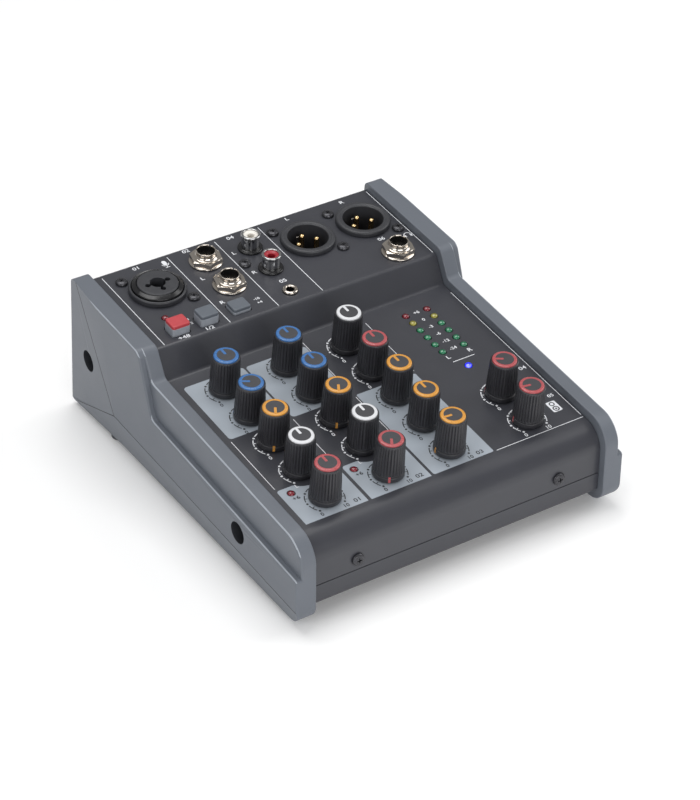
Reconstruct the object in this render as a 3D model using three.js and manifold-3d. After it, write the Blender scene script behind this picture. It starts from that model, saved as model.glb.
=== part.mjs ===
// Compact desktop mixing console: folded sheet chassis between two moulded cheeks, with its sockets,
// controls, lamps and boards. Millimetres, +Z up, X across the width, +Y towards the rear edge.
// The origin is the middle of the rectangle the feet stand in, at the level of the table.
import * as THREE from 'three';
import { mergeVertices } from 'three/addons/utils/BufferGeometryUtils.js';
import Module from 'manifold-3d';

const wasm = await Module();
wasm.setup();

// ---- overall sizes ----
const GAP = 0.2; // clearance left between parts that rest on each other
const CHASSIS_HALF = 72.1; // half width of the folded chassis
const CHEEK_INNER = 72.4; // inner wall of a cheek
const CHEEK_STRIP = 79.4; // outer side of a cheek above its ledge
const CHEEK_OUTER = 82; // outer side of a cheek below its ledge
const SHEET = 1.2; // thickness of the chassis steel
const CHEEK_PROUD = 3.8; // how far the cheeks stand above the panels
const FRONT_Y = -96.1;
const REAR_Y = 96.3;
const BASE_Z = 2.4; // underside of the cheeks

// ---- side profile of the chassis, as (y, z) ----
const IO_REAR = [88.2, 67.9];
const IO_FRONT = [30, 63];
const STEP_FOOT = [23.6, 50.4];
const WALL_Y = -92.6; // front wall
const SEAM_Z = 18; // where shell and pan meet
const PAN_Z = 8.1; // underside of the pan
const IO_TILT = Math.atan2(IO_REAR[1] - IO_FRONT[1], IO_REAR[0] - IO_FRONT[0]);
const DESK_TILT = THREE.MathUtils.degToRad(5.63);
const FOLD_RADII = { rear: 2, io: 2.6, step: 2, roll: 11, pan: 2 };

// ---- layout on the two panels; s is measured along the panel from its front (I/O) or rear (desk) fold ----
const COLUMNS = [-52.3, -21.5, 9.1];
const ROWS = [16.8, 36.8, 55.5, 75.5, 95];
const MASTER_X = 49.3;
const METER = { x: [43.9, 55.3], s: 11.4, pitch: 5.7, count: 6 };
const POWER_LAMP = [48.6, 52.9];
const PEAK_LAMPS = [[-62.8, 86.1], [-32.3, 86.1]];
const PHANTOM_LAMP = [-57, 17.6];
const COMBO = [-50, 36.2];
const XLRS = { left: [27.3, 36.2], right: [56.8, 36.3] };
const JACKS = { line_1: [-20.8, 44.4], line_2: [-20.7, 24.5], phones: [57.9, 9.4] };
const RCAS = [[1.7, 26.3], [1.7, 43.6]];
const RCA_SCREW = [-6.9, 34.2];
const MINI = [0.4, 8.2];
const BUTTONS = { phantom: [-56.6, 8], impedance: [-42.4, 8], level: [-25.8, 8.6] };
const SOCKET_SCREW = [11.05, 12.05]; // screw offset from a socket centre
const BOARD_DROP = { desk: 10, io: 26 }; // board tops below their panels
const BOARD = 1.6;

// ---- knobs, buttons, lamps ----
const KNOB = { base: 6.9, waist: 6.5, crown: 6, cap: 5.35, shaft: 3, foot: 0.5, ring: 2.4, top: 18.4, height: 19.2 };
const KNOB_HOLE = 3.6;
const SHAFT_END = -2.7;
const POT = { size: 9.8, top: -3 };
const BUTTON = { x: 8.8, s: 7.5, out: 5, in: 2.4, body: 9, stem: 3.4, reach: -8 };
const BUTTON_GAP = 0.35;
const SWITCH = { size: 8.4, top: -11.2 };
const LAMP = { r: 1.45, hole: 1.7, dome: 0.9, flange: 1.9 };

// ---- sockets ----
const XLR = { collar: 12.45, rise: 2.6, cavity: 9.2, depth: 13, body: 11, hole: 11.3, pin: 1.2, pinReach: 4.8 };
const COMBO_SIZE = { collar: 12.8, rise: 2.6, lip: 11, lipRise: 4.6, face: 9.2, faceDrop: 0.8, bore: 3.3, depth: 24 };
const JACK = { bush: 4.5, rise: 6, bore: 3.3, hole: 4.8, body: [15, 13], depth: 24 };
const NUT = { across: 13, washer: 7.6, washerRise: 0.9, rise: 3.8, bore: 4.75 };
const RCA = { shell: 4, lip: 4.4, foot: 5.7, rise: 8, bore: 3.1, depth: 7, core: 2.4, coreBore: 1.6 };
const MINI_SIZE = { ring: 3.2, rise: 1.3, bore: 1.8, depth: 12, hole: 3.5 };
const SOCKET_REACH = 25.7; // how far sockets hang down to their board
const PLATE = 3; // mounting plate of a socket, under the panel
const SCREW = { head: 2.8, rise: 1.8, shank: 1.3, length: 8, hole: 1.7 };

// ---- chassis screws, cheek screws, feet, power inlet ----
const FRONT_SCREW = { x: 50.5, z: 23.3, head: 2.9, rise: 1.7, shank: 1.4, reach: 6, hole: 1.8 };
const TAB = { width: 13, top: 28, gap: 0.3 };
const CHEEK_SCREWS = { rear: [75.3, 35.1], front: [-51.3, 22.9] };
const COUNTERBORE = { r: 5, floor: 76 };
const CHEEK_SCREW = { head: 3.1, rise: 2.1, shank: 1.5, end: 67, hole: 1.8 };
const FOOT = { r: 4.1, x: 73.4, rear: 62.2, front: -62.4, boss: 4.6, bossTop: 7.6 };
const INLET = { x: -52, z: 28, width: 10, height: 11, depth: 13, collar: 4, hole: 4.3, bore: 2.8, pin: 1 };

const { Vector2, Vector3, Matrix4 } = THREE;

// ---------- solids ----------

function solid(geometry) {
  geometry.deleteAttribute('normal');
  geometry.deleteAttribute('uv');
  const g = mergeVertices(geometry, 1e-4);
  const mesh = new wasm.Mesh({
    numProp: 3,
    vertProperties: new Float32Array(g.attributes.position.array),
    triVerts: new Uint32Array(g.index.array),
  });
  mesh.merge();
  return new wasm.Manifold(mesh);
}

function geometryOf(body) {
  const mesh = body.getMesh();
  const g = new THREE.BufferGeometry();
  g.setAttribute('position', new THREE.BufferAttribute(new Float32Array(mesh.vertProperties), 3));
  g.setIndex(new THREE.BufferAttribute(new Uint32Array(mesh.triVerts), 1));
  return g;
}

function placed(geometry, matrix) {
  return geometry.applyMatrix4(matrix);
}

function union(bodies) {
  return bodies.reduce((whole, body) => whole.add(body));
}

function minus(body, cutters) {
  return cutters.reduce((rest, cutter) => rest.subtract(cutter), body);
}

// ---------- reference frames ----------

// (u, v, w) of a profile becomes (y, z, x) of the object.
const SIDEWAYS = new Matrix4().makeBasis(new Vector3(0, 1, 0), new Vector3(0, 0, 1), new Vector3(1, 0, 0));

function panelFrame(origin, tilt, along) {
  const up = new Vector3(0, -Math.sin(tilt), Math.cos(tilt));
  const s = new Vector3(0, along * Math.cos(tilt), along * Math.sin(tilt));
  const x = new Vector3().crossVectors(s, up);
  const frame = new Matrix4().makeBasis(x, s, up);
  return { frame: frame.setPosition(0, origin[0], origin[1]), side: along };
}

const IO = panelFrame(IO_FRONT, IO_TILT, 1);
const DESK = panelFrame(STEP_FOOT, DESK_TILT, -1);

// Places a geometry made around the Z axis on a panel, at (x, s).
function onPanel(panel, [x, s], geometry, turn = 0) {
  const spot = new Matrix4().makeTranslation(panel.side * x, s, 0);
  spot.multiply(new Matrix4().makeRotationZ(turn));
  return placed(geometry, new Matrix4().multiplyMatrices(panel.frame, spot));
}

// ---------- basic shapes ----------

function box(x0, x1, y0, y1, z0, z1) {
  const g = new THREE.BoxGeometry(x1 - x0, y1 - y0, z1 - z0);
  return g.translate((x0 + x1) / 2, (y0 + y1) / 2, (z0 + z1) / 2);
}

function post(r, z0, z1, segments = 20) {
  const g = new THREE.CylinderGeometry(r, r, z1 - z0, segments);
  return g.rotateX(Math.PI / 2).translate(0, 0, (z0 + z1) / 2);
}

// Turns (radius, height) points around Z.
function turned(points, segments = 20) {
  const g = new THREE.LatheGeometry(points.map(([r, h]) => new Vector2(r, h)), segments);
  return g.rotateX(Math.PI / 2);
}

function roundedBlock(width, depth, z0, z1, corner, edge = 0) {
  const shape = new THREE.Shape();
  const [w, d] = [width / 2 - corner, depth / 2 - corner];
  const half = Math.PI / 2;
  shape.absarc(w, d, corner, 0, half);
  shape.absarc(-w, d, corner, half, 2 * half);
  shape.absarc(-w, -d, corner, 2 * half, 3 * half);
  shape.absarc(w, -d, corner, 3 * half, 4 * half);
  const g = new THREE.ExtrudeGeometry(shape, {
    depth: z1 - z0 - 2 * edge,
    curveSegments: 3,
    bevelEnabled: edge > 0,
    bevelThickness: edge,
    bevelSize: edge,
    bevelOffset: -edge,
    bevelSegments: 2,
  });
  return g.translate(0, 0, z0 + edge);
}

// ---------- rounded profiles ----------

// Offsets an open chain of points to its right by a distance.
function offsetChain(points, distance) {
  const p = points.map(([y, z]) => new Vector2(y, z));
  const normals = p.slice(1).map((q, i) => {
    const d = q.clone().sub(p[i]).normalize();
    return new Vector2(d.y, -d.x);
  });
  return p.map((q, i) => {
    const a = normals[Math.max(i - 1, 0)];
    const b = normals[Math.min(i, normals.length - 1)];
    const scale = distance / (1 + a.dot(b));
    return [q.x + (a.x + b.x) * scale, q.y + (a.y + b.y) * scale];
  });
}

// Rounds the inner corners of a chain; every corner gets its own radius.
function roundedChain(points, radii, steps = 3) {
  const out = [new Vector2(...points[0])];
  for (let i = 1; i < points.length - 1; i += 1) {
    const corner = new Vector2(...points[i]);
    const back = new Vector2(...points[i - 1]).sub(corner).normalize();
    const ahead = new Vector2(...points[i + 1]).sub(corner).normalize();
    const half = Math.acos(THREE.MathUtils.clamp(back.dot(ahead), -1, 1)) / 2;
    const reach = radii[i - 1] / Math.tan(half);
    const start = corner.clone().addScaledVector(back, reach);
    const end = corner.clone().addScaledVector(ahead, reach);
    const bisector = back.clone().add(ahead).normalize();
    const centre = corner.clone().addScaledVector(bisector, radii[i - 1] / Math.sin(half));
    const from = start.clone().sub(centre).angle();
    let sweep = end.clone().sub(centre).angle() - from;
    if (sweep > Math.PI) sweep -= 2 * Math.PI;
    if (sweep < -Math.PI) sweep += 2 * Math.PI;
    const count = Math.max(2, Math.ceil((steps * Math.abs(sweep)) / 1.2));
    for (let k = 0; k <= count; k += 1) {
      const a = from + (sweep * k) / count;
      out.push(new Vector2(centre.x + radii[i - 1] * Math.cos(a), centre.y + radii[i - 1] * Math.sin(a)));
    }
  }
  out.push(new Vector2(...points[points.length - 1]));
  return out;
}

// Strip of sheet metal between two offsets of a chain.
function sheetShape(points, radii, turns, outer, inner) {
  const radiusAt = (offset) => radii.map((r, i) => Math.max(0.3, r - turns[i] * offset));
  const near = roundedChain(offsetChain(points, outer), radiusAt(outer));
  const far = roundedChain(offsetChain(points, inner), radiusAt(inner));
  return new THREE.Shape([...near, ...far.reverse()]);
}

function extrudedSideways(shape, x0, x1, edge = 0, bevelSegments = 2) {
  const g = new THREE.ExtrudeGeometry(shape, {
    depth: x1 - x0 - 2 * edge,
    bevelEnabled: edge > 0,
    bevelThickness: edge,
    bevelSize: edge,
    bevelOffset: -edge,
    bevelSegments,
  });
  return placed(g.translate(0, 0, x0 + edge), SIDEWAYS);
}

const rearWallY = (z) => IO_REAR[0] + (IO_REAR[1] - z) * Math.tan(IO_TILT);
const deskZ = (y) => STEP_FOOT[1] - (STEP_FOOT[0] - y) * Math.tan(DESK_TILT);
const SHELL_CHAIN = [
  [WALL_Y, SEAM_Z],
  [WALL_Y, deskZ(WALL_Y)],
  STEP_FOOT,
  IO_FRONT,
  IO_REAR,
  [rearWallY(SEAM_Z), SEAM_Z],
];
const SHELL_RADII = [FOLD_RADII.roll, FOLD_RADII.step, FOLD_RADII.io, FOLD_RADII.rear];
const SHELL_TURNS = [1, -1, 1, 1];

// ---------- chassis ----------

function panelHoles() {
  const through = (panel, at, r, segments) => solid(onPanel(panel, at, post(r, -4, 4, segments)));
  const cuts = knobPlaces().map(({ at }) => through(DESK, at, KNOB_HOLE, 10));
  const deskLamps = [...meterPlaces(), POWER_LAMP, ...PEAK_LAMPS];
  cuts.push(...deskLamps.map((at) => through(DESK, at, LAMP.hole, 8)));
  cuts.push(through(IO, PHANTOM_LAMP, LAMP.hole, 8));
  cuts.push(through(IO, COMBO, XLR.hole, 24));
  cuts.push(...Object.values(XLRS).map((at) => through(IO, at, XLR.hole, 24)));
  cuts.push(...Object.values(JACKS).map((at) => through(IO, at, JACK.hole, 16)));
  cuts.push(...RCAS.map((at) => through(IO, at, RCA.shell + 0.3, 14)));
  cuts.push(through(IO, MINI, MINI_SIZE.hole, 12));
  cuts.push(...socketScrewPlaces().map(({ at }) => through(IO, at, SCREW.hole, 8)));
  const [w, d] = [BUTTON.x + 2 * BUTTON_GAP, BUTTON.s + 2 * BUTTON_GAP];
  cuts.push(...Object.values(BUTTONS).map((at) => solid(onPanel(IO, at, roundedBlock(w, d, -4, 4, 1.2)))));
  return cuts;
}

function wallHoles(r) {
  return [-1, 1].map((side) => {
    const hole = post(r, -6, 6, 12).rotateX(Math.PI / 2);
    return solid(hole.translate(side * FRONT_SCREW.x, WALL_Y, FRONT_SCREW.z));
  });
}

function topShell() {
  const shape = sheetShape(SHELL_CHAIN, SHELL_RADII, SHELL_TURNS, 0, SHEET);
  const sheet = solid(extrudedSideways(shape, -CHASSIS_HALF, CHASSIS_HALF));
  const inletHole = post(INLET.hole, -8, 8, 20).rotateX(Math.PI / 2);
  const inletCut = solid(inletHole.translate(INLET.x, rearWallY(INLET.z), INLET.z));
  return minus(sheet, [...panelHoles(), ...wallHoles(FRONT_SCREW.hole), inletCut]);
}

function sideWall(side) {
  const depth = SHEET + 0.4;
  const radii = SHELL_RADII.map((r, i) => Math.max(0.3, r - SHELL_TURNS[i] * depth));
  const under = offsetChain(SHELL_CHAIN, depth);
  under[0] = [under[0][0], PAN_Z + SHEET / 2];
  under[under.length - 1] = [rearWallY(SEAM_Z) - depth, PAN_Z + SHEET / 2];
  const outline = new THREE.Shape(roundedChain(under, radii));
  const x = side * (CHASSIS_HALF - SHEET / 2 - 0.1);
  const wall = solid(extrudedSideways(outline, x - SHEET / 2, x + SHEET / 2));
  const holes = Object.values(CHEEK_SCREWS).map(([y, z]) => {
    const hole = post(CHEEK_SCREW.hole, -4, 4, 12).rotateY(Math.PI / 2);
    return solid(hole.translate(x, y, z));
  });
  return minus(wall, holes);
}

function bottomPan() {
  const lipTop = SEAM_Z - 0.3;
  const chain = [
    [WALL_Y, lipTop],
    [WALL_Y, PAN_Z],
    [rearWallY(PAN_Z), PAN_Z],
    [rearWallY(lipTop), lipTop],
  ];
  const shape = sheetShape(chain, [FOLD_RADII.pan, FOLD_RADII.pan], [-1, -1], 0, -SHEET);
  const tray = solid(extrudedSideways(shape, -CHASSIS_HALF, CHASSIS_HALF));
  const inner = WALL_Y + SHEET + TAB.gap;
  const tabs = [-1, 1].map((side) => {
    const x = side * FRONT_SCREW.x;
    const [x0, x1] = [x - TAB.width / 2, x + TAB.width / 2];
    return solid(box(x0, x1, inner, inner + SHEET, PAN_Z + SHEET / 2, TAB.top));
  });
  const body = union([tray, sideWall(-1), sideWall(1), ...tabs]);
  return minus(body, wallHoles(FRONT_SCREW.hole));
}

// ---------- cheeks ----------

function cheekChain() {
  const rearTop = [REAR_Y - 8.1, 0];
  const over = offsetChain(SHELL_CHAIN, -CHEEK_PROUD);
  const io = new Vector2(...over[3]);
  const run = new Vector2(Math.cos(IO_TILT), Math.sin(IO_TILT));
  const top = io.clone().addScaledVector(run, (rearTop[0] - io.x) / run.x);
  return {
    front: [FRONT_Y, deskZ(FRONT_Y) + CHEEK_PROUD],
    step: over[2],
    io: over[3],
    rear: [top.x, top.y],
  };
}

// Half space beyond the plane through three points, away from the object.
function beyond(a, b, c) {
  const [p, q, r] = [a, b, c].map((v) => new Vector3(...v));
  const normal = new Vector3().crossVectors(q.clone().sub(p), r.clone().sub(p)).normalize();
  if (normal.x < 0) normal.negate();
  const turn = new THREE.Quaternion().setFromUnitVectors(new Vector3(1, 0, 0), normal);
  const block = new THREE.BoxGeometry(60, 500, 500).translate(30, 0, 0);
  return solid(placed(block, new Matrix4().compose(p, turn, new Vector3(1, 1, 1))));
}

function closedChain(points, radii) {
  const mid = [(points[0][0] + points[1][0]) / 2, (points[0][1] + points[1][1]) / 2];
  const chain = [mid, ...points.slice(1), points[0], mid];
  return new THREE.Shape(roundedChain(chain, [...radii.slice(1), radii[0]]).slice(0, -1));
}

function cheekBody() {
  const c = cheekChain();
  const low = [[REAR_Y, BASE_Z], [FRONT_Y, BASE_Z]];
  const full = closedChain([...low, c.front, c.step, c.io, c.rear], [1.5, 5.5, 12.5, 3, 4.6, 3]);
  const slab = solid(extrudedSideways(full, CHEEK_INNER, CHEEK_STRIP, 1.1));
  const drop = new Vector2(0, -15.6 / Math.cos(DESK_TILT));
  const ledgeFront = [c.front[0], c.front[1] + drop.y];
  const ledgeRear = [18, deskZ(18) + CHEEK_PROUD + drop.y];
  const lower = closedChain([...low, ledgeFront, ledgeRear, c.io, c.rear], [1.5, 5.5, 1.6, 4, 4.6, 3]);
  const layer = solid(extrudedSideways(lower, CHEEK_STRIP - 4, CHEEK_OUTER, 1.2));
  const facet = beyond([80.6, 83.6, 71.9], [CHEEK_OUTER, 52, 20.2], [78.8, REAR_Y, 3.4]);
  const bevel = beyond([CHEEK_OUTER, 51.3, 20.3], [CHEEK_OUTER, -95.5, 10.6], [78.9, -20.5, 2.9]);
  const bosses = [FOOT.rear, FOOT.front].map((y) => {
    return solid(post(FOOT.boss, BASE_Z, FOOT.bossTop, 24).translate(FOOT.x, y, 0));
  });
  const bores = Object.values(CHEEK_SCREWS).flatMap(([y, z]) => {
    const wide = post(COUNTERBORE.r, COUNTERBORE.floor, CHEEK_OUTER + 5, 28).rotateY(Math.PI / 2);
    const narrow = post(CHEEK_SCREW.hole, CHEEK_INNER - 5, CHEEK_OUTER, 12).rotateY(Math.PI / 2);
    return [solid(wide.translate(0, y, z)), solid(narrow.translate(0, y, z))];
  });
  return minus(union([slab, layer, ...bosses]), [facet, bevel, ...bores]);
}

function mirrored(geometry) {
  geometry.scale(-1, 1, 1);
  const index = geometry.index.array;
  for (let i = 0; i < index.length; i += 3) {
    [index[i], index[i + 1]] = [index[i + 1], index[i]];
  }
  return geometry;
}

// ---------- layout helpers ----------

function knobPlaces() {
  const places = COLUMNS.flatMap((x, c) => ROWS.map((s, r) => ({ name: `knob_${r + 1}_${c + 1}`, at: [x, s] })));
  const master = ROWS.slice(3).map((s, r) => ({ name: `knob_${r + 4}_4`, at: [MASTER_X, s] }));
  return [...places, ...master];
}

function meterPlaces() {
  const steps = Array.from({ length: METER.count }, (_, i) => METER.s + i * METER.pitch);
  return METER.x.flatMap((x) => steps.map((s) => [x, s]));
}

function socketScrewPlaces() {
  const sockets = { combo: COMBO, xlr_left: XLRS.left, xlr_right: XLRS.right };
  const [dx, ds] = SOCKET_SCREW;
  const pairs = Object.entries(sockets).flatMap(([name, [x, s]]) => [
    { name: `screw_${name}_1`, at: [x - dx, s + ds] },
    { name: `screw_${name}_2`, at: [x + dx, s - ds] },
  ]);
  return [...pairs, { name: 'screw_rca', at: RCA_SCREW }];
}

// ---------- controls ----------

function knob(at) {
  const k = KNOB;
  return solid(onPanel(DESK, at, turned([
    [0, SHAFT_END], [k.shaft, SHAFT_END], [k.shaft, k.foot], [k.base, k.foot], [k.base, k.ring],
    [k.waist, k.ring + 0.8], [k.crown, k.top - 0.4], [k.cap, k.height], [0, k.height],
  ], 18)));
}

function button(at, top) {
  const cap = solid(onPanel(IO, at, roundedBlock(BUTTON.x, BUTTON.s, top - BUTTON.body, top, 1, 0.5)));
  const reach = BUTTON.reach + top - BUTTON.out;
  return cap.add(solid(onPanel(IO, at, box(-1.7, 1.7, -1.7, 1.7, reach, top - 1))));
}

function lamp(panel, at, leadEnd) {
  const { r, dome, flange } = LAMP;
  return solid(onPanel(panel, at, turned([
    [0, leadEnd], [0.7, leadEnd], [0.7, -4.6], [flange, -4.6], [flange, -3.6], [r, -3.6], [r, 0.1],
    [r * 0.8, dome - 0.3], [0, dome + 0.05],
  ], 10)));
}

function meterBlock() {
  const [x0, x1] = [METER.x[0] - 4, METER.x[1] + 4];
  const end = METER.s + METER.pitch * (METER.count - 1) + 4;
  const block = solid(onPanel(DESK, [0, 0], box(-x1, -x0, METER.s - 4, end, -BOARD_DROP.desk + GAP, -3)));
  return union([block, ...meterPlaces().map((at) => lamp(DESK, at, -5))]);
}

// ---------- sockets ----------

function plate(at, width, length) {
  return solid(onPanel(IO, at, roundedBlock(width, length, -SHEET - GAP - PLATE, -SHEET - GAP, 2)));
}

function pilotHoles(names) {
  const spots = socketScrewPlaces().filter(({ name }) => names.includes(name));
  return spots.map(({ at }) => solid(onPanel(IO, at, post(SCREW.hole, -12, 4, 8))));
}

function xlr(at, name) {
  const x = XLR;
  const shell = solid(onPanel(IO, at, turned([
    [0, -SOCKET_REACH], [x.body, -SOCKET_REACH], [x.body, GAP], [x.collar, GAP], [x.collar, x.rise - 0.6],
    [x.collar - 0.6, x.rise], [x.cavity, x.rise], [x.cavity, -x.depth], [0, -x.depth],
  ], 24)));
  const pins = [[0, x.pinReach], [-x.pinReach, 0], [x.pinReach, 0]].map(([dx, ds]) => {
    const tip = turned([[0, -x.depth - 1], [x.pin, -x.depth - 1], [x.pin, -0.6], [0, 0.3]], 8);
    return solid(onPanel(IO, [at[0] + dx, at[1] + ds], tip));
  });
  const mount = plate(at, 27, 30).subtract(solid(onPanel(IO, at, post(x.body - 1, -9, 1, 24))));
  return minus(union([shell, mount, ...pins]), pilotHoles([`screw_${name}_1`, `screw_${name}_2`]));
}

function comboJack() {
  const c = COMBO_SIZE;
  const shell = solid(onPanel(IO, COMBO, turned([
    [0, -SOCKET_REACH], [XLR.body, -SOCKET_REACH], [XLR.body, GAP], [c.collar, GAP],
    [c.collar, c.rise - 0.6], [c.collar - 0.6, c.rise], [c.lip + 0.1, c.rise + 0.2], [c.lip, c.lipRise - 0.4],
    [c.lip - 0.4, c.lipRise], [c.face, c.lipRise], [c.face, c.lipRise - c.faceDrop], [0, c.lipRise - c.faceDrop],
  ], 20)));
  const bore = solid(onPanel(IO, COMBO, post(c.bore, -c.depth, 9, 12)));
  const body = union([shell, plate(COMBO, 27, 30)]);
  return minus(body, [bore, ...pilotHoles(['screw_combo_1', 'screw_combo_2'])]);
}

function jack(at) {
  const [w, l] = JACK.body;
  const body = solid(onPanel(IO, at, box(-w / 2, w / 2, -l / 2, l / 2, -SOCKET_REACH, -SHEET - GAP)));
  const { bush, rise } = JACK;
  const tube = turned([[0, -3], [bush, -3], [bush, rise - 0.4], [bush - 0.4, rise], [0, rise]], 18);
  const bore = solid(onPanel(IO, at, post(JACK.bore, -JACK.depth, 9, 16)));
  return body.add(solid(onPanel(IO, at, tube))).subtract(bore);
}

function nut(at) {
  const n = NUT;
  const corner = n.across / 2 / Math.cos(Math.PI / 6);
  const hex = post(corner, n.washerRise, n.rise, 6).rotateZ(Math.PI / 12);
  const crown = turned([[0, 0], [corner + 1, 0], [corner + 1, n.rise - 1.1], [corner - 1, n.rise], [0, n.rise]], 24);
  const washer = post(n.washer, GAP, n.washerRise, 24);
  const body = solid(hex).intersect(solid(crown)).add(solid(washer));
  const ring = body.subtract(solid(post(n.bore, -1, 9, 18)));
  return solid(onPanel(IO, at, geometryOf(ring)));
}

function rcaBlock() {
  const r = RCA;
  const [near, far] = RCAS;
  const middle = [near[0] - 2.4, (near[1] + far[1]) / 2];
  const length = far[1] - near[1] + 12;
  const base = solid(onPanel(IO, middle, box(-8.6, 8.6, -length / 2, length / 2, -SOCKET_REACH, -SHEET - GAP)));
  const posts = RCAS.map((at) => solid(onPanel(IO, at, turned([
    [0, -4], [r.shell, -4], [r.shell, GAP], [r.foot, GAP], [r.foot, 0.9], [r.shell, 1.2], [r.shell, r.rise - 1.4],
    [r.lip, r.rise - 1], [r.lip, r.rise - 0.2], [r.lip - 0.3, r.rise], [r.bore, r.rise], [r.bore, r.rise - r.depth],
    [r.core, r.rise - r.depth], [r.core, r.rise - 0.6], [r.coreBore, r.rise - 0.6], [r.coreBore, -2], [0, -2],
  ], 16))));
  return minus(union([base, ...posts]), pilotHoles(['screw_rca']));
}

function miniJack() {
  const m = MINI_SIZE;
  const body = solid(onPanel(IO, MINI, box(-4, 4, -6, 6, -SOCKET_REACH, -SHEET - GAP)));
  const ring = turned([
    [0, -4], [m.ring - 0.1, -4], [m.ring - 0.1, GAP], [m.ring + 0.2, GAP], [m.ring + 0.2, m.rise - 0.5],
    [m.ring - 0.6, m.rise], [0, m.rise],
  ], 14);
  const bore = solid(onPanel(IO, MINI, post(m.bore, -m.depth, 5, 12)));
  return body.add(solid(onPanel(IO, MINI, ring))).subtract(bore);
}

function panHead({ head, rise, shank, length }, segments = 12) {
  return turned([
    [0, -length], [shank, -length], [shank, GAP], [head, GAP], [head, rise * 0.45], [head * 0.78, rise * 0.85],
    [head * 0.4, rise], [0, rise],
  ], segments);
}

// ---------- boards and power ----------

function controlBoard() {
  const top = -BOARD_DROP.desk;
  const board = solid(onPanel(DESK, [0, 0], box(-68, 68, 5, 107, top - BOARD, top)));
  const half = POT.size / 2;
  const pots = knobPlaces().map(({ at }) => solid(onPanel(DESK, at, box(-half, half, -half, half, top - 0.5, POT.top))));
  return union([board, ...pots]);
}

function ioBoard() {
  const top = -BOARD_DROP.io;
  const board = solid(onPanel(IO, [0, 0], box(-68, 68, 3, 54, top - BOARD, top)));
  const half = SWITCH.size / 2;
  const switches = Object.entries(BUTTONS).map(([name, at]) => {
    const lift = name === 'level' ? BUTTON.in - BUTTON.out : 0;
    return solid(onPanel(IO, at, box(-half, half, -half, half, top - 0.5, SWITCH.top + lift)));
  });
  return union([board, ...switches]);
}

function dcInlet() {
  const i = INLET;
  const wall = rearWallY(i.z);
  const inner = wall - SHEET - 1.6;
  const [x0, x1] = [i.x - i.width / 2, i.x + i.width / 2];
  const body = solid(box(x0, x1, inner - i.depth, inner, i.z - i.height / 2, i.z + i.height / 2));
  const along = (g) => solid(g.rotateX(-Math.PI / 2).translate(i.x, wall, i.z));
  const collar = along(post(i.collar, -5, 0.8, 24));
  const bore = along(post(i.bore, -11, 3, 20));
  const pin = along(post(i.pin, -12, -1, 12));
  return body.add(collar).subtract(bore).add(pin);
}

function frontScrew(side) {
  const f = FRONT_SCREW;
  const g = panHead({ head: f.head, rise: f.rise, shank: f.shank, length: f.reach });
  return solid(g.rotateX(Math.PI / 2).translate(side * f.x, WALL_Y, f.z));
}

function cheekScrew(side, [y, z]) {
  const c = CHEEK_SCREW;
  const g = panHead({ head: c.head, rise: c.rise, shank: c.shank, length: COUNTERBORE.floor - c.end });
  return solid(g.rotateY((side * Math.PI) / 2).translate(side * COUNTERBORE.floor, y, z));
}

function foot(side, y) {
  const g = turned([[0, 0], [FOOT.r - 0.5, 0], [FOOT.r, 0.5], [FOOT.r, BASE_Z - GAP], [0, BASE_Z - GAP]], 16);
  return solid(g.translate(side * FOOT.x, y, 0));
}

// ---------- materials ----------

function finish(colour, roughness, metalness) {
  return { colour, roughness, metalness };
}

const FINISHES = {
  chassis: finish(0x35363a, 0.45, 0.3),
  cheek: finish(0x747c85, 0.55, 0),
  black: finish(0x141416, 0.5, 0),
  knob: finish(0x1b1b1e, 0.45, 0),
  nickel: finish(0xbdb6ab, 0.25, 1),
  blackSteel: finish(0x17171a, 0.35, 0.7),
  redButton: finish(0xd9434a, 0.45, 0),
  greyButton: finish(0x4f545b, 0.5, 0),
  meter: finish(0x1d4a34, 0.2, 0),
  blueLamp: finish(0x2c48ff, 0.15, 0),
  redLamp: finish(0x551015, 0.15, 0),
  board: finish(0x1c4a2c, 0.6, 0),
  foot: finish(0x202022, 0.85, 0),
};

const console3d = new THREE.Group();
console3d.name = 'mixing_console';

function addGeometry(name, geometry, { colour, roughness, metalness }) {
  const material = new THREE.MeshStandardMaterial({ color: colour, roughness, metalness });
  const mesh = new THREE.Mesh(geometry, material);
  mesh.name = name;
  console3d.add(mesh);
}

function add(name, body, look) {
  addGeometry(name, geometryOf(body), look);
}

// ---------- assembly ----------

add('top_shell', topShell(), FINISHES.chassis);
add('bottom_pan', bottomPan(), FINISHES.chassis);
const cheek = cheekBody();
addGeometry('cheek_right', geometryOf(cheek), FINISHES.cheek);
addGeometry('cheek_left', mirrored(geometryOf(cheek)), FINISHES.cheek);
add('control_board', controlBoard(), FINISHES.board);
add('io_board', ioBoard(), FINISHES.board);
add('dc_inlet', dcInlet(), FINISHES.black);

add('combo_jack', comboJack(), FINISHES.black);
for (const [side, at] of Object.entries(XLRS)) {
  add(`xlr_${side}`, xlr(at, `xlr_${side}`), FINISHES.black);
}
for (const [name, at] of Object.entries(JACKS)) {
  add(`jack_${name}`, jack(at), FINISHES.nickel);
  add(`nut_${name}`, nut(at), FINISHES.nickel);
}
add('rca_block', rcaBlock(), FINISHES.nickel);
add('mini_jack', miniJack(), FINISHES.nickel);
for (const { name, at } of socketScrewPlaces()) {
  add(name, solid(onPanel(IO, at, panHead(SCREW))), FINISHES.blackSteel);
}

for (const { name, at } of knobPlaces()) {
  add(name, knob(at), FINISHES.knob);
}
for (const [name, at] of Object.entries(BUTTONS)) {
  const look = name === 'phantom' ? FINISHES.redButton : FINISHES.greyButton;
  add(`button_${name}`, button(at, name === 'level' ? BUTTON.in : BUTTON.out), look);
}

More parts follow.
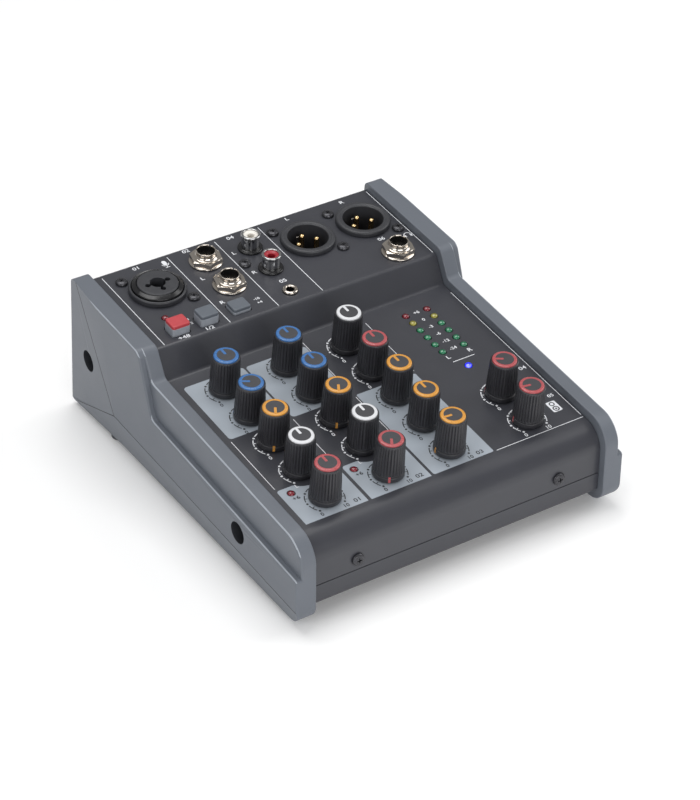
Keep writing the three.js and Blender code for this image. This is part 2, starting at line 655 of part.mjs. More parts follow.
add('meter_leds', meterBlock(), FINISHES.meter);
add('power_led', lamp(DESK, POWER_LAMP, -BOARD_DROP.desk + GAP), FINISHES.blueLamp);
add('phantom_led', lamp(IO, PHANTOM_LAMP, -BOARD_DROP.io + GAP), FINISHES.redLamp);
PEAK_LAMPS.forEach((at, i) => {
  add(`peak_led_${i + 1}`, lamp(DESK, at, -BOARD_DROP.desk + GAP), FINISHES.redLamp);
});

for (const [side, name] of [[-1, 'left'], [1, 'right']]) {
  add(`front_screw_${name}`, frontScrew(side), FINISHES.blackSteel);
  for (const [end, at] of Object.entries(CHEEK_SCREWS)) {
    add(`cheek_screw_${name}_${end}`, cheekScrew(side, at), FINISHES.blackSteel);
  }
  for (const end of ['rear', 'front']) {
    add(`foot_${name}_${end}`, foot(side, FOOT[end]), FINISHES.foot);
  }
}

export default console3d;
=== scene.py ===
# Looks of the compact mixing console: painted steel chassis, moulded cheeks, sockets, knobs and lamps.
# Shapes are written in millimetres and turned into metres when a mesh is made. The two panels have frames of
# their own: x to the right, v towards the rear along the panel, h straight out of it.
import math
import random

import bmesh
import bpy
from mathutils import Matrix, Quaternion, Vector


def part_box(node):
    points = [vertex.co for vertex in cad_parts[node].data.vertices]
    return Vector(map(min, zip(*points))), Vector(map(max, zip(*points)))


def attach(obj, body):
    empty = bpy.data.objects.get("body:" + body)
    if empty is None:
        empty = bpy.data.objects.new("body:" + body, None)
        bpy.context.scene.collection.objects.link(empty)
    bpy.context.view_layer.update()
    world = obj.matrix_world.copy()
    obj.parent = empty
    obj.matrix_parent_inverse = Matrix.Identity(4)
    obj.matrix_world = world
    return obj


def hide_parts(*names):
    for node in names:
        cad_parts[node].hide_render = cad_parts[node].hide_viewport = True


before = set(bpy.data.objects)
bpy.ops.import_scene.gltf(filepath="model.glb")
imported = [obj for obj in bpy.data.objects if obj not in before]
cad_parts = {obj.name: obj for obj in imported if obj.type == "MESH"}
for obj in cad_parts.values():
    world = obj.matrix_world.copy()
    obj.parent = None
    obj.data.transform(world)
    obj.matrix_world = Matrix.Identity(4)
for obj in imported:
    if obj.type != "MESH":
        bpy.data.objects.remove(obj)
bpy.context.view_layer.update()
MM = 0.001
CHASSIS = "chassis"

# ---- side profile of the chassis, as (y, z) ----
IO_FRONT = (30.0, 63.0)
IO_REAR = (88.2, 67.9)
STEP_FOOT = (23.6, 50.4)
IO_TILT = math.atan2(IO_REAR[1] - IO_FRONT[1], IO_REAR[0] - IO_FRONT[0])
DESK_TILT = math.radians(5.63)
WALL_Y = -92.6
SEAM_Z = 18.0
PAN_Z = 8.1
SHEET = 1.2
CHASSIS_HALF = 72.1
GAP = 0.2

# ---- cheeks ----
CHEEK_INNER = 72.4
CHEEK_STRIP = 79.4
CHEEK_OUTER = 82.0
CHEEK_PROUD = 3.8
FRONT_Y = -96.1
REAR_Y = 96.3
BASE_Z = 2.4
LEDGE_DROP = 15.6


# ---------------------------------------------------------------- frames

def panel_matrix(origin, tilt):
    """Frame of a sloping panel: x right, v rearwards, h outwards."""
    across = Vector((1, 0, 0))
    along = Vector((0, math.cos(tilt), math.sin(tilt)))
    out = Vector((0, -math.sin(tilt), math.cos(tilt)))
    turn = Matrix((across, along, out)).transposed().to_4x4()
    return Matrix.Translation(Vector((0, origin[0], origin[1]))) @ turn


IO = panel_matrix(IO_FRONT, IO_TILT)
DESK = panel_matrix(STEP_FOOT, DESK_TILT)
METRES = Matrix.Scale(MM, 4)


def spot(node, panel, above=0.25):
    """Middle (x, v) of what a CAD node shows above a panel."""
    back = panel.inverted()
    local = [back @ (v.co / MM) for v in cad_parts[node].data.vertices]
    shown = [p for p in local if p.z > above]
    xs, vs = [p.x for p in shown], [p.y for p in shown]
    return (min(xs) + max(xs)) / 2, (min(vs) + max(vs)) / 2


def at(panel, place, turn=0.0, height=0.0):
    """Matrix of a place on a panel, turned clockwise as seen from outside."""
    move = Matrix.Translation(Vector((place[0], place[1], height)))
    return panel @ move @ Matrix.Rotation(-turn, 4, "Z")


# ---------------------------------------------------------------- mesh tools

def mesh_of(bm, name):
    mesh = bpy.data.meshes.new(name)
    bm.to_mesh(mesh)
    bm.free()
    return mesh


def smooth(mesh, angle=35.0):
    mesh.polygons.foreach_set("use_smooth", [True] * len(mesh.polygons))
    mesh.set_sharp_from_angle(angle=math.radians(angle))
    mesh.update()


def put(name, mesh, materials, body=CHASSIS, replaces=(), matrix=None, weighted=True):
    """Links a finished mesh (metres, or matrix given for a shared one) as a piece that rides on a body."""
    obj = bpy.data.objects.new(name, mesh)
    bpy.context.scene.collection.objects.link(obj)
    if not mesh.materials:
        for m in materials:
            mesh.materials.append(m)
    if matrix is not None:
        obj.matrix_world = matrix
    if weighted:
        mod = obj.modifiers.new("normals", "WEIGHTED_NORMAL")
        mod.keep_sharp = True
    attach(obj, body)
    if replaces:
        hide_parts(*replaces)
    return obj


def evaluated(mesh, setup):
    """Runs modifiers on a mesh and gives the result as a new mesh."""
    obj = bpy.data.objects.new("work", mesh)
    bpy.context.scene.collection.objects.link(obj)
    setup(obj)
    graph = bpy.context.evaluated_depsgraph_get()
    out = bpy.data.meshes.new_from_object(obj.evaluated_get(graph))
    bpy.data.objects.remove(obj)
    return out


def carved(body, cutter, operation="DIFFERENCE"):
    """Boolean of two meshes."""
    other = bpy.data.objects.new("cutter", cutter)
    bpy.context.scene.collection.objects.link(other)

    def setup(obj):
        mod = obj.modifiers.new("cut", "BOOLEAN")
        mod.operation = operation
        mod.solver = "EXACT"
        mod.use_self = True
        mod.object = other

    out = evaluated(body, setup)
    bpy.data.objects.remove(other)
    return out


def lathe(points, segments=64, material=0):
    """Turns (radius, height) points round the axis; each point may carry a material index as a third value."""
    bm = bmesh.new()
    rings = []
    for point in points:
        r, h = point[0], point[1]
        if r < 1e-6:
            rings.append([bm.verts.new((0, 0, h))])
        else:
            turns = [2 * math.pi * k / segments for k in range(segments)]
            rings.append([bm.verts.new((r * math.cos(a), r * math.sin(a), h)) for a in turns])
    for i in range(len(rings) - 1):
        a, b = rings[i], rings[i + 1]
        index = points[i][2] if len(points[i]) > 2 else material
        for k in range(segments):
            n = (k + 1) % segments
            if len(a) == 1 and len(b) == 1:
                continue
            if len(a) == 1:
                face = bm.faces.new((a[0], b[n], b[k]))
            elif len(b) == 1:
                face = bm.faces.new((a[k], a[n], b[0]))
            else:
                face = bm.faces.new((a[k], a[n], b[n], b[k]))
            face.material_index = index
    bmesh.ops.recalc_face_normals(bm, faces=bm.faces)
    return bm


def eased(points, radius=0.25, steps=3):
    """Rounds the corners of a profile of (radius, height[, material]) points."""
    out = [points[0]]
    for before, corner, after in zip(points, points[1:], points[2:]):
        c = Vector(corner[:2])
        back, ahead = Vector(before[:2]) - c, Vector(after[:2]) - c
        reach = min(radius, back.length * 0.45, ahead.length * 0.45)
        if corner[0] < 1e-6 or reach < 1e-4:
            out.append(corner)
            continue
        start, end = c + back.normalized() * reach, c + ahead.normalized() * reach
        for k in range(steps + 1):
            t = k / steps
            p = start * (1 - t) ** 2 + c * 2 * t * (1 - t) + end * t ** 2
            index = (before if t < 0.5 else corner)[2:3]
            out.append((p.x, p.y, *index))
    out.append(points[-1])
    return out


def prism(outline, low, high):
    """Closed prism over an outline of (x, y) points, from low to high along z."""
    bm = bmesh.new()
    bottom = [bm.verts.new((x, y, low)) for x, y in outline]
    top = [bm.verts.new((x, y, high)) for x, y in outline]
    bm.faces.new(bottom)
    bm.faces.new(top)
    n = len(outline)
    for k in range(n):
        bm.faces.new((bottom[k], bottom[(k + 1) % n], top[(k + 1) % n], top[k]))
    bmesh.ops.recalc_face_normals(bm, faces=bm.faces)
    return bm


def merge(into, other, matrix=None, index=None):
    """Adds another bmesh to one, moved and with one material."""
    if index is not None:
        for f in other.faces:
            f.material_index = index
    if matrix is not None:
        bmesh.ops.transform(other, matrix=matrix, verts=other.verts)
    mesh = mesh_of(other, "merged")
    into.from_mesh(mesh)
    bpy.data.meshes.remove(mesh)
    return into


def circle(r, count=32, x=0.0, y=0.0):
    turns = [2 * math.pi * k / count for k in range(count)]
    return [(x + r * math.cos(a), y + r * math.sin(a)) for a in turns]


def rounded_rect(w, d, corner, count=6, x=0.0, y=0.0):
    out = []
    for sx, sy, start in ((1, 1, 0), (-1, 1, 90), (-1, -1, 180), (1, -1, 270)):
        cx, cy = x + sx * (w / 2 - corner), y + sy * (d / 2 - corner)
        for k in range(count + 1):
            a = math.radians(start + 90 * k / count)
            out.append((cx + corner * math.cos(a), cy + corner * math.sin(a)))
    return out


def soft_block(w, d, low, high, corner, edge, index=0, levels=3):
    """Block with rounded corners and a rounded top edge."""
    bm = bmesh.new()
    rings = []
    for k in range(levels + 1):
        a = math.pi / 2 * k / levels
        inset = edge * (1 - math.cos(a))
        h = high - edge + edge * math.sin(a)
        outline = rounded_rect(w - 2 * inset, d - 2 * inset, max(corner - inset, 0.15))
        rings.append([bm.verts.new((x, y, h)) for x, y in outline])
    base = [bm.verts.new((v.co.x, v.co.y, low)) for v in rings[0]]
    rings.insert(0, base)
    n = len(base)
    for a, b in zip(rings, rings[1:]):
        for k in range(n):
            bm.faces.new((a[k], a[(k + 1) % n], b[(k + 1) % n], b[k]))
    bm.faces.new(rings[-1])
    bm.faces.new(list(reversed(base)))
    bmesh.ops.recalc_face_normals(bm, faces=bm.faces)
    for f in bm.faces:
        f.material_index = index
    return bm


# ---------------------------------------------------------------- profiles

def offset_chain(points, distance):
    """Moves an open chain of points to its right."""
    p = [Vector(q) for q in points]
    normals = [Vector(((b - a).y, -(b - a).x)).normalized() for a, b in zip(p, p[1:])]
    out = []
    for i, q in enumerate(p):
        a, b = normals[max(i - 1, 0)], normals[min(i, len(normals) - 1)]
        moved = q + (a + b) * (distance / (1 + a.dot(b)))
        out.append((moved.x, moved.y))
    return out


def rounded_chain(points, radii, step=0.09):
    """Rounds the inner corners of an open chain of points, one radius each."""
    out = [Vector(points[0])]
    for before, corner, after, r in zip(points, points[1:], points[2:], radii):
        c = Vector(corner)
        back, ahead = (Vector(before) - c).normalized(), (Vector(after) - c).normalized()
        half = math.acos(max(-1, min(1, back.dot(ahead)))) / 2
        start, end = c + back * (r / math.tan(half)), c + ahead * (r / math.tan(half))
        centre = c + (back + ahead).normalized() * (r / math.sin(half))
        a0 = math.atan2(start.y - centre.y, start.x - centre.x)
        sweep = math.atan2(end.y - centre.y, end.x - centre.x) - a0
        sweep = (sweep + math.pi) % (2 * math.pi) - math.pi
        count = max(3, math.ceil(abs(sweep) / step))
        for k in range(count + 1):
            a = a0 + sweep * k / count
            out.append(centre + Vector((math.cos(a), math.sin(a))) * r)
    out.append(Vector(points[-1]))
    return [(p.x, p.y) for p in out]


def rear_wall_y(z):
    return IO_REAR[0] + (IO_REAR[1] - z) * math.tan(IO_TILT)


def desk_z(y):
    return STEP_FOOT[1] - (STEP_FOOT[0] - y) * math.tan(DESK_TILT)


SHELL_CHAIN = [
    (WALL_Y, SEAM_Z),
    (WALL_Y, desk_z(WALL_Y)),
    STEP_FOOT,
    IO_FRONT,
    IO_REAR,
    (rear_wall_y(SEAM_Z), SEAM_Z),
]
SHELL_RADII = [11.0, 2.0, 2.6, 2.0]
SHELL_TURNS = [1, -1, 1, 1]
SIDEWAYS = Matrix(((0, 0, 1, 0), (1, 0, 0, 0), (0, 1, 0, 0), (0, 0, 0, 1)))


def sheet_outline(chain, radii, turns, outer, inner):
    def radius_at(offset):
        return [max(0.3, r - t * offset) for r, t in zip(radii, turns)]

    near = rounded_chain(offset_chain(chain, outer), radius_at(outer))
    far = rounded_chain(offset_chain(chain, inner), radius_at(inner))
    return near + far[::-1]


def sideways(outline, x0, x1):
    """Prism of a (y, z) outline between two x positions."""
    bm = prism(outline, x0, x1)
    bmesh.ops.transform(bm, matrix=SIDEWAYS, verts=bm.verts)
    bmesh.ops.recalc_face_normals(bm, faces=bm.faces)
    return bm


# ---------------------------------------------------------------- materials

def tree_of(name):
    mat = bpy.data.materials.new(name)
    mat.use_nodes = True
    nodes, links = mat.node_tree.nodes, mat.node_tree.links
    return mat, nodes, links, nodes["Principled BSDF"]


def noise_node(nodes, links, coords, scale, detail=3.0, rough=0.55, stretch=None):
    tex = nodes.new("ShaderNodeTexNoise")
    tex.inputs["Scale"].default_value = scale
    tex.inputs["Detail"].default_value = detail
    tex.inputs["Roughness"].default_value = rough
    source = coords.outputs["Object"]
    if stretch:
        mapping = nodes.new("ShaderNodeMapping")
        mapping.inputs["Scale"].default_value = stretch
        links.new(source, mapping.inputs["Vector"])
        source = mapping.outputs["Vector"]
    links.new(source, tex.inputs["Vector"])
    return tex


def ramp_node(nodes, links, source, stops):
    ramp = nodes.new("ShaderNodeValToRGB")
    ramp.color_ramp.elements[0].position, ramp.color_ramp.elements[0].color = stops[0]
    ramp.color_ramp.elements[1].position, ramp.color_ramp.elements[1].color = stops[-1]
    for position, colour in stops[1:-1]:
        ramp.color_ramp.elements.new(position).color = colour
    links.new(source, ramp.inputs["Fac"])
    return ramp


def shade(colour, factor):
    return (*(min(1.0, c * factor) for c in colour), 1.0)


def linear(r, g, b):
    """sRGB numbers of 0 to 255 as a linear colour."""
    def one(c):
        c /= 255
        return c / 12.92 if c <= 0.04045 else ((c + 0.055) / 1.055) ** 2.4
    return one(r), one(g), one(b)


def surface(name, colour, rough, metal=0.0, mottle=0.08, mottle_scale=60.0, rough_vary=0.06, grain=2600.0,
            bump=0.12, bump_mm=0.02, coat=0.0, specular=0.5, stretch=None, wear=None):
    """Moulded, painted or plated surface: mottled colour, broken-up roughness, fine grain and optional edge wear."""
    mat, nodes, links, bsdf = tree_of(name)
    coords = nodes.new("ShaderNodeTexCoord")
    wide = noise_node(nodes, links, coords, mottle_scale, 4.0, 0.6, stretch)
    ramp = ramp_node(nodes, links, wide.outputs["Fac"], [
        (0.3, shade(colour, 1 - mottle)),
        (0.5, shade(colour, 1.0)),
        (0.7, shade(colour, 1 + mottle)),
    ])
    tint = ramp.outputs["Color"]
    if wear is not None:
        geometry = nodes.new("ShaderNodeNewGeometry")
        edge = ramp_node(nodes, links, geometry.outputs["Pointiness"], [
            (0.50, (0, 0, 0, 1)), (0.56, (1, 1, 1, 1)),
        ])
        mix = nodes.new("ShaderNodeMix")
        mix.data_type = "RGBA"
        mix.inputs["B"].default_value = (*wear, 1.0)
        amount = nodes.new("ShaderNodeMath")
        amount.operation = "MULTIPLY"
        links.new(edge.outputs["Color"], amount.inputs[0])
        links.new(wide.outputs["Fac"], amount.inputs[1])
        links.new(amount.outputs[0], mix.inputs["Factor"])
        links.new(tint, mix.inputs["A"])
        tint = mix.outputs["Result"]
    links.new(tint, bsdf.inputs["Base Color"])
    fine = noise_node(nodes, links, coords, grain, 2.0, 0.6, stretch)
    blotch = noise_node(nodes, links, coords, mottle_scale * 4.3, 3.0, 0.6, stretch)
    span = nodes.new("ShaderNodeMapRange")
    span.inputs["From Min"].default_value = 0.3
    span.inputs["From Max"].default_value = 0.7
    span.inputs["To Min"].default_value = max(0.02, rough - rough_vary)
    span.inputs["To Max"].default_value = min(1.0, rough + rough_vary)
    links.new(blotch.outputs["Fac"], span.inputs["Value"])
    links.new(span.outputs["Result"], bsdf.inputs["Roughness"])
    relief = nodes.new("ShaderNodeBump")
    relief.inputs["Strength"].default_value = bump
    relief.inputs["Distance"].default_value = bump_mm * MM
    links.new(fine.outputs["Fac"], relief.inputs["Height"])
    links.new(relief.outputs["Normal"], bsdf.inputs["Normal"])
    bsdf.inputs["Metallic"].default_value = metal
    bsdf.inputs["Specular IOR Level"].default_value = specular
    bsdf.inputs["Coat Weight"].default_value = coat
    bsdf.inputs["Coat Roughness"].default_value = 0.12
    return mat


def lamp_material(name, colour, glow=0.0, glow_colour=None):
    """Tinted clear epoxy of a lamp, darker round its rim, with faint flow lines inside."""
    mat, nodes, links, bsdf = tree_of(name)
    coords = nodes.new("ShaderNodeTexCoord")
    layer = nodes.new("ShaderNodeLayerWeight")
    layer.inputs["Blend"].default_value = 0.45
    swirl = noise_node(nodes, links, coords, 900.0, 2.0, 0.5)
    ramp = ramp_node(nodes, links, layer.outputs["Facing"], [
        (0.0, shade(colour, 1.5)), (0.45, shade(colour, 0.8)), (1.0, shade(colour, 0.25)),
    ])
    mix = nodes.new("ShaderNodeMix")
    mix.data_type = "RGBA"
    mix.blend_type = "OVERLAY"
    mix.inputs["Factor"].default_value = 0.35
    links.new(ramp.outputs["Color"], mix.inputs["A"])
    links.new(swirl.outputs["Fac"], mix.inputs["B"])
    links.new(mix.outputs["Result"], bsdf.inputs["Base Color"])
    span = nodes.new("ShaderNodeMapRange")
    span.inputs["To Min"].default_value = 0.06
    span.inputs["To Max"].default_value = 0.16
    links.new(swirl.outputs["Fac"], span.inputs["Value"])
    links.new(span.outputs["Result"], bsdf.inputs["Roughness"])
    bsdf.inputs["Coat Weight"].default_value = 0.6
    bsdf.inputs["Coat Roughness"].default_value = 0.04
    if glow:
        core = ramp_node(nodes, links, layer.outputs["Facing"], [
            (0.0, (0.45, 0.5, 1.0, 1.0)), (0.3, (*glow_colour, 1.0)), (1.0, shade(glow_colour, 0.5)),
        ])
        links.new(core.outputs["Color"], bsdf.inputs["Emission Color"])
        bsdf.inputs["Emission Strength"].default_value = glow
    return mat


CHARCOAL = linear(57, 58, 64)
SLATE = linear(99, 104, 112)
M = {
    "chassis": surface("chassis_paint", CHARCOAL, 0.33, mottle=0.04, mottle_scale=28, rough_vary=0.02, grain=1500, bump=0.08,
                       bump_mm=0.02, specular=0.5),
    "cheek": surface("cheek_abs", SLATE, 0.44, mottle=0.015, mottle_scale=22, rough_vary=0.02, grain=1700,
                     bump=0.4, bump_mm=0.04, specular=0.45),
    # lighter colour for the upward outer rims of the cheeks: a painted highlight
    "cheek_rim_highlight": surface("cheek_rim_highlight", linear(156, 162, 170), 0.34, mottle=0.10, mottle_scale=90, grain=2100, bump=0.2,
                         bump_mm=0.03, specular=0.5),
    # dark colour for the crease grooves and screw bores of the cheeks: painted shade in creases and recesses
    "cheek_painted_recess_shade": surface("cheek_painted_recess_shade", linear(44, 46, 50), 0.5, mottle=0.10, mottle_scale=90, grain=2100, bump=0.2,
                          specular=0.3),
    "knob": surface("knob_body", linear(46, 46, 50), 0.38, mottle=0.10, mottle_scale=160, grain=4200, bump=0.1,
                    specular=0.5),
    "mark": surface("knob_mark", linear(56, 56, 60), 0.5, mottle=0.1, mottle_scale=260, grain=3000, bump=0.15),
    "blue": surface("cap_blue", linear(56, 107, 166), 0.30, mottle=0.06, mottle_scale=220, grain=2600, bump=0.06,
                    coat=0.25),
    "orange": surface("cap_orange", linear(208, 146, 58), 0.30, mottle=0.05, mottle_scale=220, grain=2600,
                      bump=0.06, coat=0.25),
    "white": surface("cap_white", linear(216, 217, 220), 0.32, mottle=0.02, mottle_scale=220, grain=2600,
                     bump=0.06, coat=0.2),
    "red": surface("cap_red", linear(172, 78, 82), 0.30, mottle=0.06, mottle_scale=220, grain=2600, bump=0.06,
                   coat=0.25),
    "socket": surface("socket_black", linear(50, 51, 55), 0.42, mottle=0.05, mottle_scale=120, grain=3600,
                      bump=0.06, specular=0.5),
    "gloss": surface("socket_gloss", linear(24, 24, 26), 0.2, mottle=0.1, mottle_scale=140, grain=3600,
                     bump=0.05, specular=0.5),
    # near-black inside of socket holes: partly their black inside, partly painted shade of the depth
    "bore": surface("bore_black_and_depth_shade", linear(9, 9, 10), 0.6, mottle=0.2, mottle_scale=200, grain=3000, bump=0.1,
                    specular=0.12),
    "nickel": surface("nickel", linear(208, 200, 190), 0.13, 1.0, mottle=0.06, mottle_scale=110, rough_vary=0.04,
                      grain=1800, bump=0.03, bump_mm=0.01),
    "chrome": surface("chrome", linear(190, 190, 190), 0.10, 1.0, mottle=0.10, mottle_scale=120, rough_vary=0.05,
                      grain=1600, bump=0.05),
    "gold": surface("gold_pin", linear(236, 204, 150), 0.2, 1.0, mottle=0.1, mottle_scale=300, bump=0.05),
    "steel": surface("screw_black", linear(62, 62, 66), 0.28, 0.5, mottle=0.25, mottle_scale=320, grain=2600,
                     bump=0.3, rough_vary=0.1),
    "red_button": surface("button_red", linear(182, 64, 70), 0.36, mottle=0.05, mottle_scale=150, grain=2400,
                          bump=0.12),
    "grey_button": surface("button_grey", linear(92, 98, 106), 0.42, mottle=0.05, mottle_scale=150, grain=2400,
                           bump=0.12),
    "grey_stem": surface("button_stem", linear(146, 151, 159), 0.42, mottle=0.05, mottle_scale=150, grain=2400,
                         bump=0.12),
    "insert_white": surface("insert_white", linear(232, 228, 220), 0.4, mottle=0.04, mottle_scale=200, bump=0.06),
    "insert_red": surface("insert_red", linear(160, 38, 50), 0.34, mottle=0.08, mottle_scale=200, bump=0.06),
    "rubber": surface("foot_rubber", linear(70, 71, 74), 0.82, mottle=0.2, mottle_scale=180, grain=1500, bump=0.5,
                      specular=0.3),
    "board": surface("board_green", linear(30, 84, 50), 0.45, mottle=0.25, mottle_scale=90, grain=900, bump=0.3,
                     coat=0.3),
    "ink_grey": surface("ink_grey", linear(158, 166, 175), 0.42, mottle=0.03, mottle_scale=50, grain=3400,
                        bump=0.16, bump_mm=0.02),
    "ink_white": surface("ink_white", linear(226, 228, 232), 0.45, mottle=0.05, mottle_scale=400, grain=3400,
                         bump=0.1),
    "ink_black": surface("ink_black", linear(40, 41, 44), 0.45, mottle=0.1, mottle_scale=400, grain=3400,
                         bump=0.1),
    "lamp_red": lamp_material("lamp_red", linear(108, 22, 34)),
    "lamp_yellow": lamp_material("lamp_yellow", linear(140, 134, 60)),
    "lamp_green": lamp_material("lamp_green", linear(36, 112, 78)),
    "lamp_blue": lamp_material("lamp_blue", linear(40, 50, 250), 0.9, linear(20, 30, 255)),
}


# ---------------------------------------------------------------- chassis

PARTS_ON_DESK = [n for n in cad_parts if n.startswith("knob_")]
KNOB_SPOTS = {n: spot(n, DESK, 0.6) for n in PARTS_ON_DESK}
XLR_SPOTS = {n: spot(n, IO, 0.5) for n in ("xlr_left", "xlr_right")}
COMBO = spot("combo_jack", IO, 0.5)
JACK_SPOTS = {n: spot("nut_" + n, IO, 0.3) for n in ("line_1", "line_2", "phones")}
MINI = spot("mini_jack", IO, 0.3)
SCREW_NODES = [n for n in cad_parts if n.startswith("screw_")]
SCREW_SPOTS = {n: spot(n, IO, 0.25) for n in SCREW_NODES}
BUTTON_SPOTS = {n: spot("button_" + n, IO, 0.5) for n in ("phantom", "impedance", "level")}
LAMP_R = 1.45
DOME = 1.62


def extents(node, panel, above):
    back = panel.inverted()
    local = [back @ (v.co / MM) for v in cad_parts[node].data.vertices]
    shown = [p for p in local if p.z > above]
    xs, vs = [p.x for p in shown], [p.y for p in shown]
    return min(xs), max(xs), min(vs), max(vs)


def meter_spots():
    x0, x1, v0, v1 = extents("meter_leds", DESK, 0.05)
    pitch = (v1 - v0 - 2 * LAMP_R) / 5
    rows = [v1 - LAMP_R - pitch * k for k in range(6)]
    return [(x, v, k) for x in (x0 + LAMP_R, x1 - LAMP_R) for k, v in enumerate(rows)]


def rca_spots():
    x0, x1, v0, v1 = extents("rca_block", IO, 0.5)
    x, r = (x0 + x1) / 2, (x1 - x0) / 2
    return {"rear": (x, v1 - r), "front": (x, v0 + r)}


METER = meter_spots()
RCAS = rca_spots()
DESK_LAMPS = {n: spot(n, DESK, 0.05) for n in ("power_led", "peak_led_1", "peak_led_2")}
PHANTOM_LAMP = spot("phantom_led", IO, 0.05)


def through(cutter, panel, outline, low=-4.0, high=4.0):
    merge(cutter, prism(outline, low, high), panel)


def shell_cutter():
    cutter = bmesh.new()
    for place in KNOB_SPOTS.values():
        through(cutter, DESK, circle(3.6, 24, *place))
    for x, v, _ in METER:
        through(cutter, DESK, circle(DOME + 0.2, 20, x, v))
    for place in DESK_LAMPS.values():
        through(cutter, DESK, circle(DOME + 0.2, 20, *place))
    through(cutter, IO, circle(DOME + 0.2, 20, *PHANTOM_LAMP))
    for place in (COMBO, *XLR_SPOTS.values()):
        through(cutter, IO, circle(11.3, 48, *place))
    for place in JACK_SPOTS.values():
        through(cutter, IO, circle(4.8, 32, *place))
    for place in RCAS.values():
        through(cutter, IO, circle(4.3, 32, *place))
    through(cutter, IO, circle(3.5, 32, *MINI))
    for place in SCREW_SPOTS.values():
        through(cutter, IO, circle(1.7, 16, *place))
    for place in BUTTON_SPOTS.values():
        through(cutter, IO, rounded_rect(9.5, 8.2, 1.2, 6, *place))
    low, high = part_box("dc_inlet")
    inlet = ((low.x + high.x) / 2 / MM, (low.z + high.z) / 2 / MM)
    bore = prism(circle(4.3, 32), -8, 8)
    merge(cutter, bore, Matrix.Translation((inlet[0], rear_wall_y(inlet[1]), inlet[1])) @
          Matrix.Rotation(math.radians(90), 4, "X"))
    return cutter


def round_rims(mesh, width, at_least=60.0):
    """Small bevel on every edge that turns more than the given angle."""
    def setup(obj):
        mod = obj.modifiers.new("rims", "BEVEL")
        mod.limit_method = "ANGLE"
        mod.angle_limit = math.radians(at_least)
        mod.width = width
        mod.segments = 2
        mod.use_clamp_overlap = True
        mod.harden_normals = False
    return evaluated(mesh, setup)


def in_metres(mesh):
    mesh.transform(METRES)
    return mesh


def build_chassis():
    outline = sheet_outline(SHELL_CHAIN, SHELL_RADII, SHELL_TURNS, 0, SHEET)
    shell = mesh_of(sideways(outline, -CHASSIS_HALF, CHASSIS_HALF), "top_shell_body")
    shell = carved(shell, mesh_of(shell_cutter(), "cutter"))
    shell = round_rims(shell, 0.16)
    smooth(in_metres(shell), 32)
    put("chassis_shell", shell, [M["chassis"]], replaces=["top_shell"])
    refined("bottom_pan", "chassis_pan", "chassis", 0.12)


def refined(node, name, key, rim):
    """Stands in for a CAD node with the same shape, its hard rims eased."""
    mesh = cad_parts[node].data.copy()
    mesh.transform(Matrix.Scale(1 / MM, 4))
    bm = bmesh.new()
    bm.from_mesh(mesh)
    bmesh.ops.remove_doubles(bm, verts=bm.verts, dist=0.002)
    bmesh.ops.dissolve_limit(bm, angle_limit=math.radians(0.5), verts=bm.verts, edges=bm.edges)
    mesh = round_rims(mesh_of(bm, name), rim)
    mesh.materials.clear()
    smooth(in_metres(mesh), 32)
    put(name, mesh, [M[key]], replaces=[node])


def assign(node, *keys):
    """Gives a CAD node that stays in view its finished material."""
    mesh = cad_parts[node].data
    mesh.materials.clear()
    for key in keys:
        mesh.materials.append(M[key])


# ---------------------------------------------------------------- cheeks

def cheek_corners():
    over = offset_chain(SHELL_CHAIN, -CHEEK_PROUD)
    run = Vector((math.cos(IO_TILT), math.sin(IO_TILT)))
    io = Vector(over[3])
    top = io + run * ((REAR_Y - 8.1 - io.x) / run.x)
    return (FRONT_Y, desk_z(FRONT_Y) + CHEEK_PROUD), over[2], over[3], (top.x, top.y)


def rounded_loop(points, radii, step=0.05):
    """Closed loop with every corner rounded."""
    out = []
    for i, r in enumerate(radii):
        chain = [points[i - 1], points[i], points[(i + 1) % len(points)]]
        out += rounded_chain(chain, [r], step)[1:-1]
    return out


def inset_loop(points, radii, distance):
    """Corners and corner radii of a closed loop moved inwards."""
    p = [Vector(q) for q in points]
    inward = math.copysign(1, sum(a.x * b.y - b.x * a.y for a, b in zip(p, p[1:] + p[:1])))
    corners, turned = [], []
    for i, c in enumerate(p):
        u, w = (c - p[i - 1]).normalized(), (p[(i + 1) % len(p)] - c).normalized()
        left_u, left_w = Vector((-u.y, u.x)), Vector((-w.y, w.x))
        moved = c + (left_u + left_w) * (inward * distance / (1 + left_u.dot(left_w)))
        convex = (u.x * w.y - u.y * w.x) * inward > 0
        corners.append((moved.x, moved.y))
        turned.append(max(0.2, radii[i] - distance) if convex else radii[i] + distance)
    return corners, turned


RIM_STEPS = 6
# least upward tilt of a rim face that keeps the painted highlight
HIGHLIGHT_MIN_UP = 0.42


def rim_stations(x, edge, sign, steps=RIM_STEPS):
    """(x, inset) pairs round a quarter circle that ends at x."""
    if edge == 0:
        return [(x, 0.0)]
    turns = [math.pi / 2 * k / steps for k in range(steps + 1)]
    return [(x - sign * edge * (1 - math.sin(a)), edge * (1 - math.cos(a))) for a in turns]


